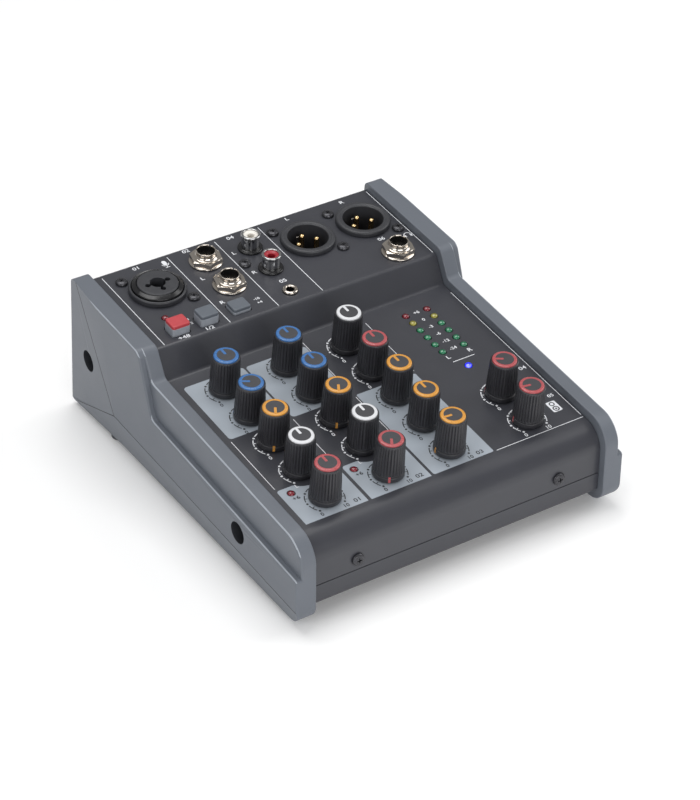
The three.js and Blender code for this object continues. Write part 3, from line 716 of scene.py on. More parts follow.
def rimmed(points, radii, x0, x1, edges):
    """Slab over a rounded loop of (y, z) corners between two x positions, with rounded rims; the upward strips of the
    outer rim take the lighter second material, a painted highlight.
    """
    stations = rim_stations(x0, edges[0], -1)[::-1] + rim_stations(x1, edges[1], 1)
    bm = bmesh.new()
    rings = []
    for x, inset in stations:
        loop = rounded_loop(*inset_loop(points, radii, inset))
        rings.append([bm.verts.new((x, y, z)) for y, z in loop])
    n = len(rings[0])
    # strips of the outer rim that take the painted highlight; below, it stays only on faces turned upwards
    highlight_strips = range(len(rings) - 1 - RIM_STEPS + 1, len(rings) - 2)
    for i, (a, b) in enumerate(zip(rings, rings[1:])):
        for k in range(n):
            bm.faces.new((a[k], a[(k + 1) % n], b[(k + 1) % n], b[k])).material_index = int(i in highlight_strips)
    bm.faces.new(rings[0])
    bm.faces.new(rings[-1])
    bmesh.ops.recalc_face_normals(bm, faces=bm.faces)
    for f in bm.faces:
        if f.normal.z < HIGHLIGHT_MIN_UP:
            f.material_index = 0
    return bm


def beyond(a, b, c, side=0, y=0.0):
    """Large block past the plane through three points, on the outer side, cut off in front of or behind y."""
    p, q, r = Vector(a), Vector(b), Vector(c)
    normal = (q - p).cross(r - p).normalized()
    if normal.x < 0:
        normal.negate()
    turn = Vector((1, 0, 0)).rotation_difference(normal).to_matrix().to_4x4()
    bm = bmesh.new()
    bmesh.ops.create_cube(bm, size=1.0)
    bmesh.ops.transform(bm, matrix=Matrix.Translation((0.5, 0, 0)), verts=bm.verts)
    bmesh.ops.transform(bm, matrix=Matrix.Diagonal((60, 500, 500, 1)), verts=bm.verts)
    bmesh.ops.transform(bm, matrix=Matrix.Translation(p) @ turn, verts=bm.verts)
    if side:
        everything = bm.verts[:] + bm.edges[:] + bm.faces[:]
        bmesh.ops.bisect_plane(bm, geom=everything, plane_co=(0, y, 0), plane_no=(0, -side, 0), clear_outer=True)
        bmesh.ops.holes_fill(bm, edges=[e for e in bm.edges if e.is_boundary])
        bmesh.ops.recalc_face_normals(bm, faces=bm.faces)
    return mesh_of(bm, "beyond")


def groove(a, b, width):
    """Thin square bar along a line, for cutting a fine groove; its faces take the dark third material, painted shade
    in the crease.
    """
    p, q = Vector(a), Vector(b)
    turn = Vector((0, 0, 1)).rotation_difference(q - p).to_matrix().to_4x4()
    half = width / 2
    bar = prism([(-half, 0), (0, -half), (half, 0), (0, half)], 0, (q - p).length)
    for f in bar.faces:
        f.material_index = 2
    bmesh.ops.transform(bar, matrix=Matrix.Translation(p) @ turn, verts=bar.verts)
    return mesh_of(bar, "groove")


CREASE = 0.42
BEVEL_APEX = (82.0, 51.3, 20.3)
BEVEL_FRONT = (82.0, -95.5, 10.6)
FACET_TOP = (80.6, 83.6, 71.9)
FACET_FOOT = (78.8, 92.0, 3.9)


def cheek_mesh():
    front, step, io, rear = cheek_corners()
    low = [(REAR_Y, BASE_Z), (FRONT_Y, BASE_Z)]
    body = rimmed([*low, front, step, io, rear], [1.5, 8.5, 12.5, 3, 4.6, 3], CHEEK_INNER, CHEEK_STRIP, (0.5, 0.9))
    drop = LEDGE_DROP / math.cos(DESK_TILT)
    ledge_front = (front[0], front[1] - drop)
    ledge_rear = (18.0, desk_z(18.0) + CHEEK_PROUD - drop)
    layer = rimmed([*low, ledge_front, ledge_rear, io, rear], [1.5, 8.5, 1.6, 4, 4.6, 3],
                   CHEEK_STRIP - 4, CHEEK_OUTER, (0, 0.8))
    body = carved(mesh_of(body, "cheek"), mesh_of(layer, "layer"), "UNION")
    body = carved(body, beyond(FACET_TOP, BEVEL_APEX, (78.8, REAR_Y, 3.4)))
    body = carved(body, beyond(BEVEL_APEX, BEVEL_FRONT, (78.9, -20.5, 2.9), -1, BEVEL_APEX[1] + 0.1))
    body = carved(body, beyond(BEVEL_APEX, FACET_FOOT, (77.6, BEVEL_APEX[1], BASE_Z), 1, BEVEL_APEX[1]))
    # crease grooves, their cut faces in the dark material: painted shade in the crease
    for a, b in ((FACET_TOP, BEVEL_APEX), (FACET_FOOT, BEVEL_APEX), (BEVEL_APEX, BEVEL_FRONT)):
        body = carved(body, groove(a, b, CREASE))
    # screw bores, their walls in the dark material: painted shade in the recess
    for node in ("cheek_screw_right_rear", "cheek_screw_right_front"):
        lo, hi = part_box(node)
        y, z = (lo.y + hi.y) / 2 / MM, (lo.z + hi.z) / 2 / MM
        bore = sideways([(y + a, z + b) for a, b in circle(5.0, 48)], 76.0, 90.0)
        for f in bore.faces:
            f.material_index = 2
        body = carved(body, mesh_of(bore, "bore"))
    return round_rims(body, 0.35, 50)


def creased(mesh, area, angle):
    """Keeps the edge between two large flat faces hard, however shallow it is."""
    bm = bmesh.new()
    bm.from_mesh(mesh)
    for edge in bm.edges:
        if len(edge.link_faces) == 2 and min(f.calc_area() for f in edge.link_faces) > area:
            if edge.calc_face_angle() > math.radians(angle):
                edge.smooth = False
    bm.to_mesh(mesh)
    bm.free()


def mirrored(mesh):
    other = mesh.copy()
    other.transform(Matrix.Scale(-1, 4, (1, 0, 0)))
    other.flip_normals()
    return other


def build_cheeks():
    right = cheek_mesh()
    smooth(right, 30)
    creased(right, 30.0, 1.0)
    left = mirrored(right)
    for side, mesh in (("right", right), ("left", left)):
        in_metres(mesh)
        put(f"cheek_{side}_moulding", mesh, [M["cheek"], M["cheek_rim_highlight"], M["cheek_painted_recess_shade"]], replaces=[f"cheek_{side}"])


# ---------------------------------------------------------------- sockets

def gather(*parts):
    """One mesh in metres from (bmesh, matrix) parts."""
    whole = bmesh.new()
    for bm, matrix in parts:
        merge(whole, bm, matrix)
    return in_metres(mesh_of(whole, "whole"))


def build_xlr(node, place):
    collar = lathe(eased([
        (9.6, -14.0), (10.9, -14.0), (10.9, 0.2), (12.45, 0.2), (12.45, 2.0), (11.9, 2.55), (10.6, 2.6),
        (10.3, 2.4), (9.5, 2.4), (9.2, 2.1), (9.2, -13.0), (0.0, -13.0),
    ], 0.35), 96)
    parts = [(collar, at(IO, place))]
    key = prism(rounded_rect(1.6, 1.2, 0.3, 4), -12, 1.2)
    parts.append((key, at(IO, (place[0], place[1] - 9.1))))
    body = gather(*parts)
    smooth(body, 30)
    put(node + "_body", body, [M["socket"]], replaces=[node])
    pins = []
    for dx, dv in ((0, 4.8), (-4.8, 0), (4.8, 0)):
        pin = lathe([(0, -13), (1.2, -13), (1.2, -1.0), (1.12, -0.5), (0.9, -0.1), (0.55, 0.15), (0, 0.25)], 24)
        pins.append((pin, at(IO, (place[0] + dx, place[1] + dv))))
    mesh = gather(*pins)
    smooth(mesh, 50)
    put(node + "_pins", mesh, [M["gold"]])
    tab = soft_block(1.1, 0.6, -9.0, -0.2, 0.2, 0.15)
    tab = gather((tab, at(IO, (place[0] - 2.3, place[1] + 4.8))))
    smooth(tab, 40)
    put(node + "_tab", tab, [M["nickel"]])


def build_combo():
    collar = lathe(eased([
        (10.9, -14.0), (10.9, 0.2), (12.8, 0.2), (12.8, 2.1), (12.3, 2.6), (11.8, 2.6), (11.6, 2.3),
        (11.5, 1.2), (10.95, -3.0), (10.9, -14.0),
    ], 0.35, 4), 96)
    ring = lathe(eased([(10.9, -2), (11.35, 2.5), (11.25, 3.2), (9.5, 4.15), (9.3, 3.7), (9.2, -2)], 0.25, 4), 96)
    for f in ring.faces:
        f.material_index = 1
    disc = mesh_of(lathe(eased([(0, -12), (9.15, -12), (9.15, 4.1), (8.8, 4.5), (0, 4.5)], 0.3), 96), "disc")
    cutter = bmesh.new()
    merge(cutter, prism(circle(3.45, 40), -9, 9))
    for a in (0, 180, 270):
        c, s = math.cos(math.radians(a)), math.sin(math.radians(a))
        merge(cutter, prism(circle(1.25, 24, 4.9 * c, 4.9 * s), -9, 9))
        slot_box = rounded_rect(3.4, 1.3, 0.2, 2)
        turned_box = [(3.0 * c + x * c - y * s, 3.0 * s + x * s + y * c) for x, y in slot_box]
        merge(cutter, prism(turned_box, -9, 9))
    disc = round_rims(carved(disc, mesh_of(cutter, "cutter")), 0.15, 50)
    whole = bmesh.new()
    merge(whole, collar)
    merge(whole, ring, index=1)
    whole.from_mesh(disc)
    body = mesh_of(whole, "combo")
    body.transform(METRES @ at(IO, COMBO))
    smooth(body, 30)
    put("combo_body", body, [M["socket"], M["gloss"]], replaces=["combo_jack"])
    # near-black disc deep in the combo: painted shade at the bottom of its opening
    well = gather((lathe([(0, -11.8), (9, -11.8), (9, -11.4), (0, -11.4)], 32), at(IO, COMBO)))
    put("combo_well", well, [M["bore"]])
    contacts = []
    for a in (0, 180, 270):
        c, s = math.cos(math.radians(a)), math.sin(math.radians(a))
        tip = lathe([(0, -11), (0.8, -11), (0.8, 0.8), (0.5, 1.2), (0, 1.3)], 16)
        contacts.append((tip, at(IO, (COMBO[0] + 5.0 * c, COMBO[1] + 5.0 * s))))
    mesh = gather(*contacts)
    smooth(mesh, 50)
    put("combo_contacts", mesh, [M["nickel"]])


def build_jack(name, place):
    tube = eased([(4.4, -3.0), (4.4, 4.2), (4.28, 4.8), (4.3, 5.5), (4.5, 6.0), (4.42, 6.3), (4.05, 6.3),
                  (3.88, 6.05), (3.88, 5.7), (4.2, 5.7), (4.2, -3.0)], 0.12)
    bush = carved(mesh_of(lathe(tube, 72), "bush"), mesh_of(jack_notches(), "notches"))
    # inside of the bush in the near-black material: partly its black inside, partly painted shade of the depth
    inside = lathe([(3.9, 5.75), (3.8, 1.6), (3.3, 1.4), (3.3, -16.0), (0, -16.0)], 48)
    whole = bmesh.new()
    whole.from_mesh(bush)
    merge(whole, inside, index=1)
    spring = prism(rounded_rect(0.7, 1.6, 0.2, 3, 0, 2.9), 0.2, 1.9)
    merge(whole, spring, index=0)
    mesh = mesh_of(whole, "jack")
    mesh.transform(METRES @ at(IO, place))
    smooth(mesh, 28)
    put(f"jack_{name}_bush", mesh, [M["nickel"], M["bore"]], replaces=[f"jack_{name}"])
    across = 13.0
    corner = across / 2 / math.cos(math.pi / 6)
    hexagon = prism([(corner * math.cos(math.radians(15 + 60 * k)), corner * math.sin(math.radians(15 + 60 * k)))
                     for k in range(6)], 1.1, 4.1)
    crown = lathe([(0, 0.8), (7.0, 0.8), (7.6, 1.2), (7.6, 2.65), (6.5, 3.3), (0, 3.3)], 96)
    nut = carved(mesh_of(hexagon, "hex"), mesh_of(crown, "crown"), "INTERSECT")
    nut = round_rims(nut, 0.16, 24)
    whole = bmesh.new()
    whole.from_mesh(nut)
    flare = lathe(eased([(4.35, 3.0), (5.55, 3.0), (5.5, 3.4), (5.1, 3.6), (4.75, 3.9), (4.5, 4.35), (4.35, 4.45)],
                        0.25, 4), 72)
    merge(whole, flare)
    washer = lathe(eased([(4.75, 0.2), (7.6, 0.2), (7.6, 0.7), (7.0, 1.1), (4.75, 1.2), (4.75, 0.2)], 0.25, 4), 96)
    merge(whole, washer)
    mesh = mesh_of(whole, "nut")
    mesh.transform(METRES @ at(IO, place))
    smooth(mesh, 28)
    put(f"nut_{name}_hex", mesh, [M["nickel"]], replaces=[f"nut_{name}"])


def jack_notches():
    """Two slots across the mouth of a jack."""
    bm = bmesh.new()
    for turn in (-55, 55):
        bar = prism(rounded_rect(0.9, 1.0, 0.15, 3, 0, 4.0), 5.3, 6.7)
        merge(bm, bar, Matrix.Rotation(math.radians(turn), 4, "Z"))
    return bm


def build_rcas():
    shells, insides = [], {}
    for end, place in RCAS.items():
        shell = lathe(eased([
            (3.9, -3.0), (3.9, 0.8), (4.0, 1.2), (4.0, 6.4), (4.35, 6.8), (4.4, 7.7), (4.1, 8.0), (3.4, 8.0),
            (3.2, 7.75), (3.2, 6.9), (3.2, -3.0),
        ], 0.2, 4), 72)
        shells.append((shell, at(IO, place)))
        insides[end] = lathe(eased([
            (3.2, 1.0), (3.2, 7.5), (2.6, 7.45), (1.75, 7.0), (1.6, 6.7), (1.6, 1.0), (0, 1.0),
        ], 0.2), 48)
    mesh = gather(*shells)
    smooth(mesh, 28)
    put("rca_shells", mesh, [M["chrome"]], replaces=["rca_block"])
    for end, colour in (("rear", "insert_white"), ("front", "insert_red")):
        inside = gather((insides[end], at(IO, RCAS[end])))
        back = (METRES @ at(IO, RCAS[end])).inverted()
        smooth(inside, 28)
        inside.materials.append(M[colour])
        inside.materials.append(M["bore"])
        # below a set depth the centre hole of the insert turns near-black: painted shade in the recess
        for f in inside.polygons:
            p = back @ f.center
            if p.xy.length < 1.55 and p.z < 6.4:
                f.material_index = 1
        put(f"rca_insert_{end}", inside, [])
        base = lathe(eased([(3.95, -1.0), (3.95, 0.0), (5.7, 0.0), (5.7, 0.75), (5.4, 1.05), (4.8, 1.0), (4.4, 1.25),
                            (4.02, 1.3)], 0.2, 4), 64)
        put(f"rca_seat_{end}", gather((base, at(IO, RCAS[end]))), [M["gloss"]])


def build_mini():
    ring = lathe(eased([
        (3.1, -3), (3.1, 0.2), (3.45, 0.2), (3.45, 0.8), (3.1, 1.2), (2.6, 1.3), (2.2, 1.25), (1.85, 0.9),
        (1.8, 0.2), (1.8, -8), (0, -8),
    ], 0.18), 64)
    mesh = gather((ring, at(IO, MINI)))
    back = (METRES @ at(IO, MINI)).inverted()
    mesh.materials.append(M["nickel"])
    mesh.materials.append(M["bore"])
    # below the panel the bore turns near-black: partly its black inside, partly painted shade of the depth
    for f in mesh.polygons:
        p = back @ f.center
        if p.xy.length < 1.85 and p.z < 0.1:
            f.material_index = 1
    smooth(mesh, 28)
    put("mini_ring", mesh, [], replaces=["mini_jack"])


def screw_head(head, rise):
    """Pan head with a cross recess, its seat at height 0."""
    dome = lathe(eased([
        (0, -3), (1.3, -3), (1.3, 0.2), (head, 0.2), (head, rise * 0.42), (head * 0.86, rise * 0.8),
        (head * 0.5, rise * 0.97), (0, rise),
    ], 0.3, 4), 56)
    cross = bmesh.new()
    for turn in (0, 90):
        bar = prism(rounded_rect(head * 1.16, head * 0.24, head * 0.05, 2), rise * 0.2, rise * 2)
        for v in bar.verts:
            if v.co.z < rise:
                v.co.x *= 0.55
                v.co.y *= 0.6
        merge(cross, bar, Matrix.Rotation(math.radians(turn), 4, "Z"))
    mesh = carved(mesh_of(dome, "dome"), mesh_of(cross, "cross"))
    mesh = round_rims(mesh, 0.05, 45)
    in_metres(mesh)
    smooth(mesh, 30)
    mesh.materials.append(M["steel"])
    return mesh


def placed_at(matrix):
    """Object matrix in metres for a place given in millimetres."""
    place = matrix.copy()
    place.translation = matrix.translation * MM
    return place


def build_screws():
    random.seed(7)
    small = screw_head(2.8, 1.8)
    for node, place in sorted(SCREW_SPOTS.items()):
        turn = random.uniform(0, math.pi)
        put(node + "_head", small, [], replaces=[node], matrix=placed_at(at(IO, place, turn)))
    front = screw_head(2.9, 1.7)
    outward = Matrix.Rotation(math.radians(90), 4, "X")
    for side in ("left", "right"):
        node = f"front_screw_{side}"
        lo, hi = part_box(node)
        x, z = (lo.x + hi.x) / 2 / MM, (lo.z + hi.z) / 2 / MM
        turn = Matrix.Rotation(random.uniform(0, math.pi), 4, "Z")
        place = Matrix.Translation((x, WALL_Y, z)) @ outward @ turn
        put(node + "_head", front, [], replaces=[node], matrix=placed_at(place))
    wide = screw_head(3.1, 2.1)
    for side, sign in (("left", -1), ("right", 1)):
        for end in ("rear", "front"):
            node = f"cheek_screw_{side}_{end}"
            lo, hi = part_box(node)
            y, z = (lo.y + hi.y) / 2 / MM, (lo.z + hi.z) / 2 / MM
            turn = Matrix.Rotation(random.uniform(0, math.pi), 4, "Z")
            sideways_turn = Matrix.Rotation(math.radians(90 * sign), 4, "Y")
            place = Matrix.Translation((76.0 * sign, y, z)) @ sideways_turn @ turn
            put(node + "_head", wide, [], replaces=[node], matrix=placed_at(place))


# ---------------------------------------------------------------- lamps

def lamp_part(panel, place):
    turns = [math.pi / 2 * k / 8 for k in range(9)]
    crown = [(DOME * math.cos(a), 0.98 * math.sin(a)) for a in turns[:-1]]
    dome = lathe([(DOME, -2.4), *crown, (0, 0.98)], 32)
    return dome, at(panel, place)


def build_lamps():
    groups = {0: ("lamp_red", []), 1: ("lamp_yellow", []), 2: ("lamp_green", [])}
    for x, v, row in METER:
        groups[min(row, 2)][1].append(lamp_part(DESK, (x, v)))
    first = True
    for key, parts in groups.values():
        mesh = gather(*parts)
        smooth(mesh, 60)
        replaces = ["meter_leds"] if first else []
        put(f"meter_{key}", mesh, [M[key]], replaces=replaces)
        first = False
    singles = [("power_led", DESK, DESK_LAMPS["power_led"], "lamp_blue", "blue_lamp"),
               ("peak_led_1", DESK, DESK_LAMPS["peak_led_1"], "lamp_red", "red_lamp"),
               ("peak_led_2", DESK, DESK_LAMPS["peak_led_2"], "lamp_red", "red_lamp"),
               ("phantom_led", IO, PHANTOM_LAMP, "lamp_red", "red_lamp")]
    for node, panel, place, key, slot_name in singles:
        mesh = gather(lamp_part(panel, place))
        smooth(mesh, 60)
        put(node + "_dome", mesh, [M[key]], replaces=[node])


# ---------------------------------------------------------------- knobs

CAP_COLOURS = {
    "blue": ["1_1", "2_1", "1_2", "2_2"],
    "orange": ["3_1", "3_2", "3_3", "4_3", "5_3"],
    "white": ["4_1", "4_2", "1_3"],
    "red": ["5_1", "5_2", "2_3", "4_4", "5_4"],
}
RESTING = {"2_1": -60, "3_1": -150, "3_2": -150, "5_2": -150, "5_3": -85, "4_4": -60, "5_4": -80}
RIBS = 30
STEPS_PER_RIB = 8
RIB_DEPTH = 0.34


def rib_wave(k):
    """How deep the groove between two ribs is at one of the steps of a rib."""
    t = (k % STEPS_PER_RIB) / STEPS_PER_RIB
    return max(0.0, math.cos(2 * math.pi * t)) ** 1.5


def knob_mesh(cap):
    bm = bmesh.new()
    count = RIBS * STEPS_PER_RIB
    # (radius, height, share of the rib depth)
    profile = [
        (6.2, 0.5, 0), (6.75, 0.55, 0), (6.9, 0.75, 0), (6.9, 2.55, 0), (6.86, 2.75, 0), (6.72, 2.9, 0),
        (6.5, 2.95, 0), (6.5, 3.1, 0), (6.68, 3.2, 0), (6.68, 3.5, 0.1), (6.62, 4.1, 1), (6.5, 8.0, 1), (6.3, 13.0, 1),
        (6.12, 17.0, 1), (6.08, 17.8, 0.6), (6.0, 18.25, 0.1), (5.85, 18.5, 0), (5.6, 18.62, 0), (5.45, 18.5, 0),
        (5.4, 18.2, 0),
    ]
    rings = []
    for r, h, share in profile:
        ring = []
        for k in range(count):
            a = 2 * math.pi * k / count
            q = r - RIB_DEPTH * share * rib_wave(k)
            ring.append(bm.verts.new((q * math.sin(a), q * math.cos(a), h)))
        rings.append(ring)
    for a, b in zip(rings, rings[1:]):
        for k in range(count):
            n = (k + 1) % count
            bm.faces.new((a[k], b[k], b[n], a[n]))
    bm.faces.new(rings[0])
    bmesh.ops.recalc_face_normals(bm, faces=bm.faces)
    shaft = lathe([(3.0, -2.6), (3.0, 0.5), (0, 0.5)], 32)
    merge(bm, shaft)
    top = lathe([(5.36, 18.0), (5.36, 18.75), (5.28, 18.98), (5.05, 19.14), (4.7, 19.2), (0, 19.2)], 72)
    merge(bm, top, index=1)
    mark = bmesh.new()
    merge(mark, prism(circle(3.95, 56), 19.1, 19.23))
    notch = prism(rounded_rect(1.15, 3.9, 0.4, 6, 0, 2.4), 19.0, 19.26)
    merge(bm, mark, index=2)
    merge(bm, notch, index=1)
    pointer = bmesh.new()
    low, high, half = 0.85, 3.75, 0.07
    corners = []
    for h, r in ((low, 6.93), (2.6, 6.93), (2.95, 6.75), (high, 6.76)):
        corners.append([pointer.verts.new((r * math.sin(a), r * math.cos(a), h)) for a in (-half, half)])
    for (a0, a1), (b0, b1) in zip(corners, corners[1:]):
        pointer.faces.new((a0, a1, b1, b0))
    merge(bm, pointer, index=1)
    mesh = in_metres(mesh_of(bm, f"knob_{cap}"))
    smooth(mesh, 38)
    for key in ("knob", cap, "mark"):
        mesh.materials.append(M[key])
    return mesh


def build_knobs():
    for cap, places in CAP_COLOURS.items():
        shared = knob_mesh(cap)
        for place in places:
            node = "knob_" + place
            turn = math.radians(RESTING.get(place, 0))
            matrix = placed_at(at(DESK, KNOB_SPOTS[node], turn))
            put(node + "_cap", shared, [], body=node, replaces=[node], matrix=matrix)


def build_buttons():
    looks = {"phantom": (5.0, "grey_stem", "red_button", "red_button"),
             "impedance": (5.0, "grey_stem", "grey_button", "grey_button"),
             "level": (2.4, "grey_stem", "grey_button", "grey_button")}
    for name, (top, stem, cap, slot_name) in looks.items():
        whole = bmesh.new()
        merge(whole, soft_block(8.8, 7.5, top - 8.6, top - 1.5, 1.1, 0.2), index=0)
        merge(whole, soft_block(8.6, 7.3, top - 1.56, top, 1.1, 0.55, levels=5), index=1)
        node = "button_" + name
        mesh = mesh_of(whole, node)
        mesh.transform(METRES @ at(IO, BUTTON_SPOTS[name]))
        smooth(mesh, 40)
        put(node + "_cap", mesh, [M[stem], M[cap]], body=node, replaces=[node])


# ---------------------------------------------------------------- printing

class Ink:
    """Flat printing on a panel, one mesh for each colour and height."""

    def __init__(self, panel, height):
        self.bm = bmesh.new()
        self.panel = panel
        self.height = height

    def area(self, outline):
        face = self.bm.faces.new([self.bm.verts.new((x, v, self.height)) for x, v in outline])
        face.normal_update()
        if face.normal.z < 0:
            face.normal_flip()

    def line(self, a, b, width):
        p, q = Vector(a), Vector(b)
        side = Vector((-(q - p).y, (q - p).x)).normalized() * (width / 2)
        self.area([tuple(p + side), tuple(q + side), tuple(q - side), tuple(p - side)])

    def arc(self, centre, r, start, end, width):
        """Dash along a circle between two clock angles in degrees."""
        steps = max(2, int(abs(end - start) / 3))
        turns = [math.radians(start + (end - start) * k / steps) for k in range(steps + 1)]
        outer = [(centre[0] + (r + width / 2) * math.sin(a), centre[1] + (r + width / 2) * math.cos(a))
                 for a in turns]
        inner = [(centre[0] + (r - width / 2) * math.sin(a), centre[1] + (r - width / 2) * math.cos(a))
                 for a in turns]
        self.area(outer + inner[::-1])

    def text(self, words, place, size, turn=0.0, width=1.0):
        curve = bpy.data.curves.new("words", "FONT")
        curve.body = words
        curve.size = size
        curve.align_x = "CENTER"
        curve.align_y = "CENTER"
        curve.offset = size * 0.018
        curve.resolution_u = 3
        obj = bpy.data.objects.new("words", curve)
        bpy.context.scene.collection.objects.link(obj)
        graph = bpy.context.evaluated_depsgraph_get()
        mesh = bpy.data.meshes.new_from_object(obj.evaluated_get(graph))
        move = Matrix.Translation((place[0], place[1], self.height))
        mesh.transform(move @ Matrix.Rotation(math.radians(turn), 4, "Z") @ Matrix.Diagonal((width, 1, 1, 1)))
        self.bm.from_mesh(mesh)
        bpy.data.objects.remove(obj)
        bpy.data.meshes.remove(mesh)

    def ring(self, centre, r, width):
        for quarter in range(4):
            self.arc(centre, r, quarter * 90, quarter * 90 + 90, width)

    def finish(self, name, key):
        mesh = mesh_of(self.bm, name)
        mesh.transform(METRES @ self.panel)
        put(name, mesh, [M[key]], weighted=False)


DIAL_R = 8.3
DIAL_DOTS = 7
DIAL_STEP = 44.6
DIAL_STROKE = 0.46


def dial(ink, centre, numbers=("0", "10")):
    """Scale round a knob: dots, a dash with a short tick between every two, and its end numbers."""
    def place(angle, r):
        a = math.radians(angle)
        return centre[0] + r * math.sin(a), centre[1] + r * math.cos(a)

    first = -DIAL_STEP * (DIAL_DOTS - 1) / 2
    for k in range(DIAL_DOTS):
        angle = first + DIAL_STEP * k
        ink.area(circle(0.54, 14, *place(angle, DIAL_R)))
        if k < DIAL_DOTS - 1:
            middle = angle + DIAL_STEP / 2
            ink.arc(centre, DIAL_R, middle - 14, middle + 14, DIAL_STROKE)
            ink.line(place(middle, DIAL_R - 1.2), place(middle, DIAL_R), DIAL_STROKE * 0.85)
    ink.text(numbers[0], (centre[0] - 6.2, centre[1] - 8.0), 2.8)
    ink.text(numbers[1], (centre[0] + 5.2, centre[1] - 8.2), 2.8)


def block_outline(x0, x1, s0, s1, corner=1.6, count=5):
    outline = rounded_rect(x1 - x0, s1 - s0, corner, count)
    return [(x + (x0 + x1) / 2, v - (s0 + s1) / 2) for x, v in outline]


def scalloped_outline(x0, x1, rear, front, knob, r):
    """Panel field whose rear edge dips round the dial of the knob behind it."""
    half = math.acos((knob[1] - rear) / r)
    dip = [(knob[0] + r * math.sin(a), knob[1] - r * math.cos(a))
           for a in (half * (1 - k / 8) * -1 for k in range(17))]
    corner = 1.4
    turns = [math.radians(90 * k / 5) for k in range(6)]
    left = [(x0 + corner * (1 - math.cos(a)), rear - corner * (1 - math.sin(a))) for a in turns]
    right = [(x1 - corner * (1 - math.cos(a)), rear - corner * (1 - math.sin(a))) for a in reversed(turns)]
    return [(x0, front), *left, *dip, *right, (x1, front)]


LABEL = 3.0
WIDE = 1.2


def build_prints():
    blocks = Ink(DESK, 0.03)
    blocks.area(block_outline(-67.1, -37.6, 7.3, 45.5))
    blocks.area(block_outline(-36.6, -6.5, 7.8, 45.8))
    blocks.area(block_outline(-5.2, 25.1, 46.3, 104.8, 0.9))
    blocks.area(scalloped_outline(-67.6, -37.6, -82.3, -105.0, KNOB_SPOTS["knob_4_1"], 9.9))
    blocks.area(scalloped_outline(-36.0, -6.5, -82.3, -105.0, KNOB_SPOTS["knob_4_2"], 9.9))
    blocks.finish("print_blocks", "ink_grey")
    dark, light = Ink(DESK, 0.06), Ink(DESK, 0.05)
    on_grey = ("1_1", "2_1", "1_2", "2_2", "3_3", "4_3", "5_3", "5_1", "5_2")
    for node, place in KNOB_SPOTS.items():
        key = node[5:]
        ends = ("L", "R") if key in ("4_1", "4_2") else ("0", "10")
        dial(dark if key in on_grey else light, place, ends)
    light.line((-67.4, -47.0), (-67.4, -81.0), 0.3)
    light.line((-37.1, -47.0), (-37.1, -81.5), 0.3)
    light.line((-6.0, -5.0), (-6.0, -44.8), 0.3)
    light.line((-6.0, -47.5), (-6.0, -81.5), 0.3)
    light.line((25.6, -7.0), (25.6, -44.8), 0.3)
    light.line((71.4, -6.7), (71.4, -103.3), 0.32)
    light.line((26.4, -104.9), (71.4, -104.9), 0.32)
    middle = (METER[0][0] + METER[6][0]) / 2
    for (x, v, row), words in zip(METER[:6], ("+6", "0", "-3", "-6", "-12", "-24")):
        light.text(words, (middle, v), 2.5, 0, 1.1)
    for x, words in ((METER[0][0], "L"), (METER[6][0], "R")):
        light.text(words, (x, METER[5][1] - 4.4), LABEL, 0, WIDE)
    light.line((middle - 5.6, METER[5][1] - 8.0), (middle + 5.6, METER[5][1] - 8.0), 0.4)
    for x, words in ((-41.2, "01"), (-10.8, "02"), (19.6, "03")):
        dark.text(words, (x, -102.4), LABEL, 0, WIDE)
    for key in ("peak_led_1", "peak_led_2"):
        x, v = DESK_LAMPS[key]
        # dark ring over the gap round the lamp: painted shade of the hole
        dark.ring((x, v), DOME + 0.12, 0.3)
        dark.text("+6", (x + 0.3, v - 3.5), 2.7, 0, WIDE)
    light.text("04", (68.0, -65.8), LABEL, 0, WIDE)
    light.text("05", (67.6, -86.8), 2.6, 0, WIDE)
    x, v = 64.6, -93.4
    light.area(rounded_rect(4.6, 6.8, 0.6, 4, x, v))
    dark.ring((x, v + 1.7), 1.05, 0.5)
    dark.ring((x, v - 1.5), 1.3, 0.55)
    dark.area(circle(0.5, 12, x, v - 1.5))
    dark.finish("print_dark", "ink_black")
    light.finish("print_light", "ink_white")
    build_io_prints()


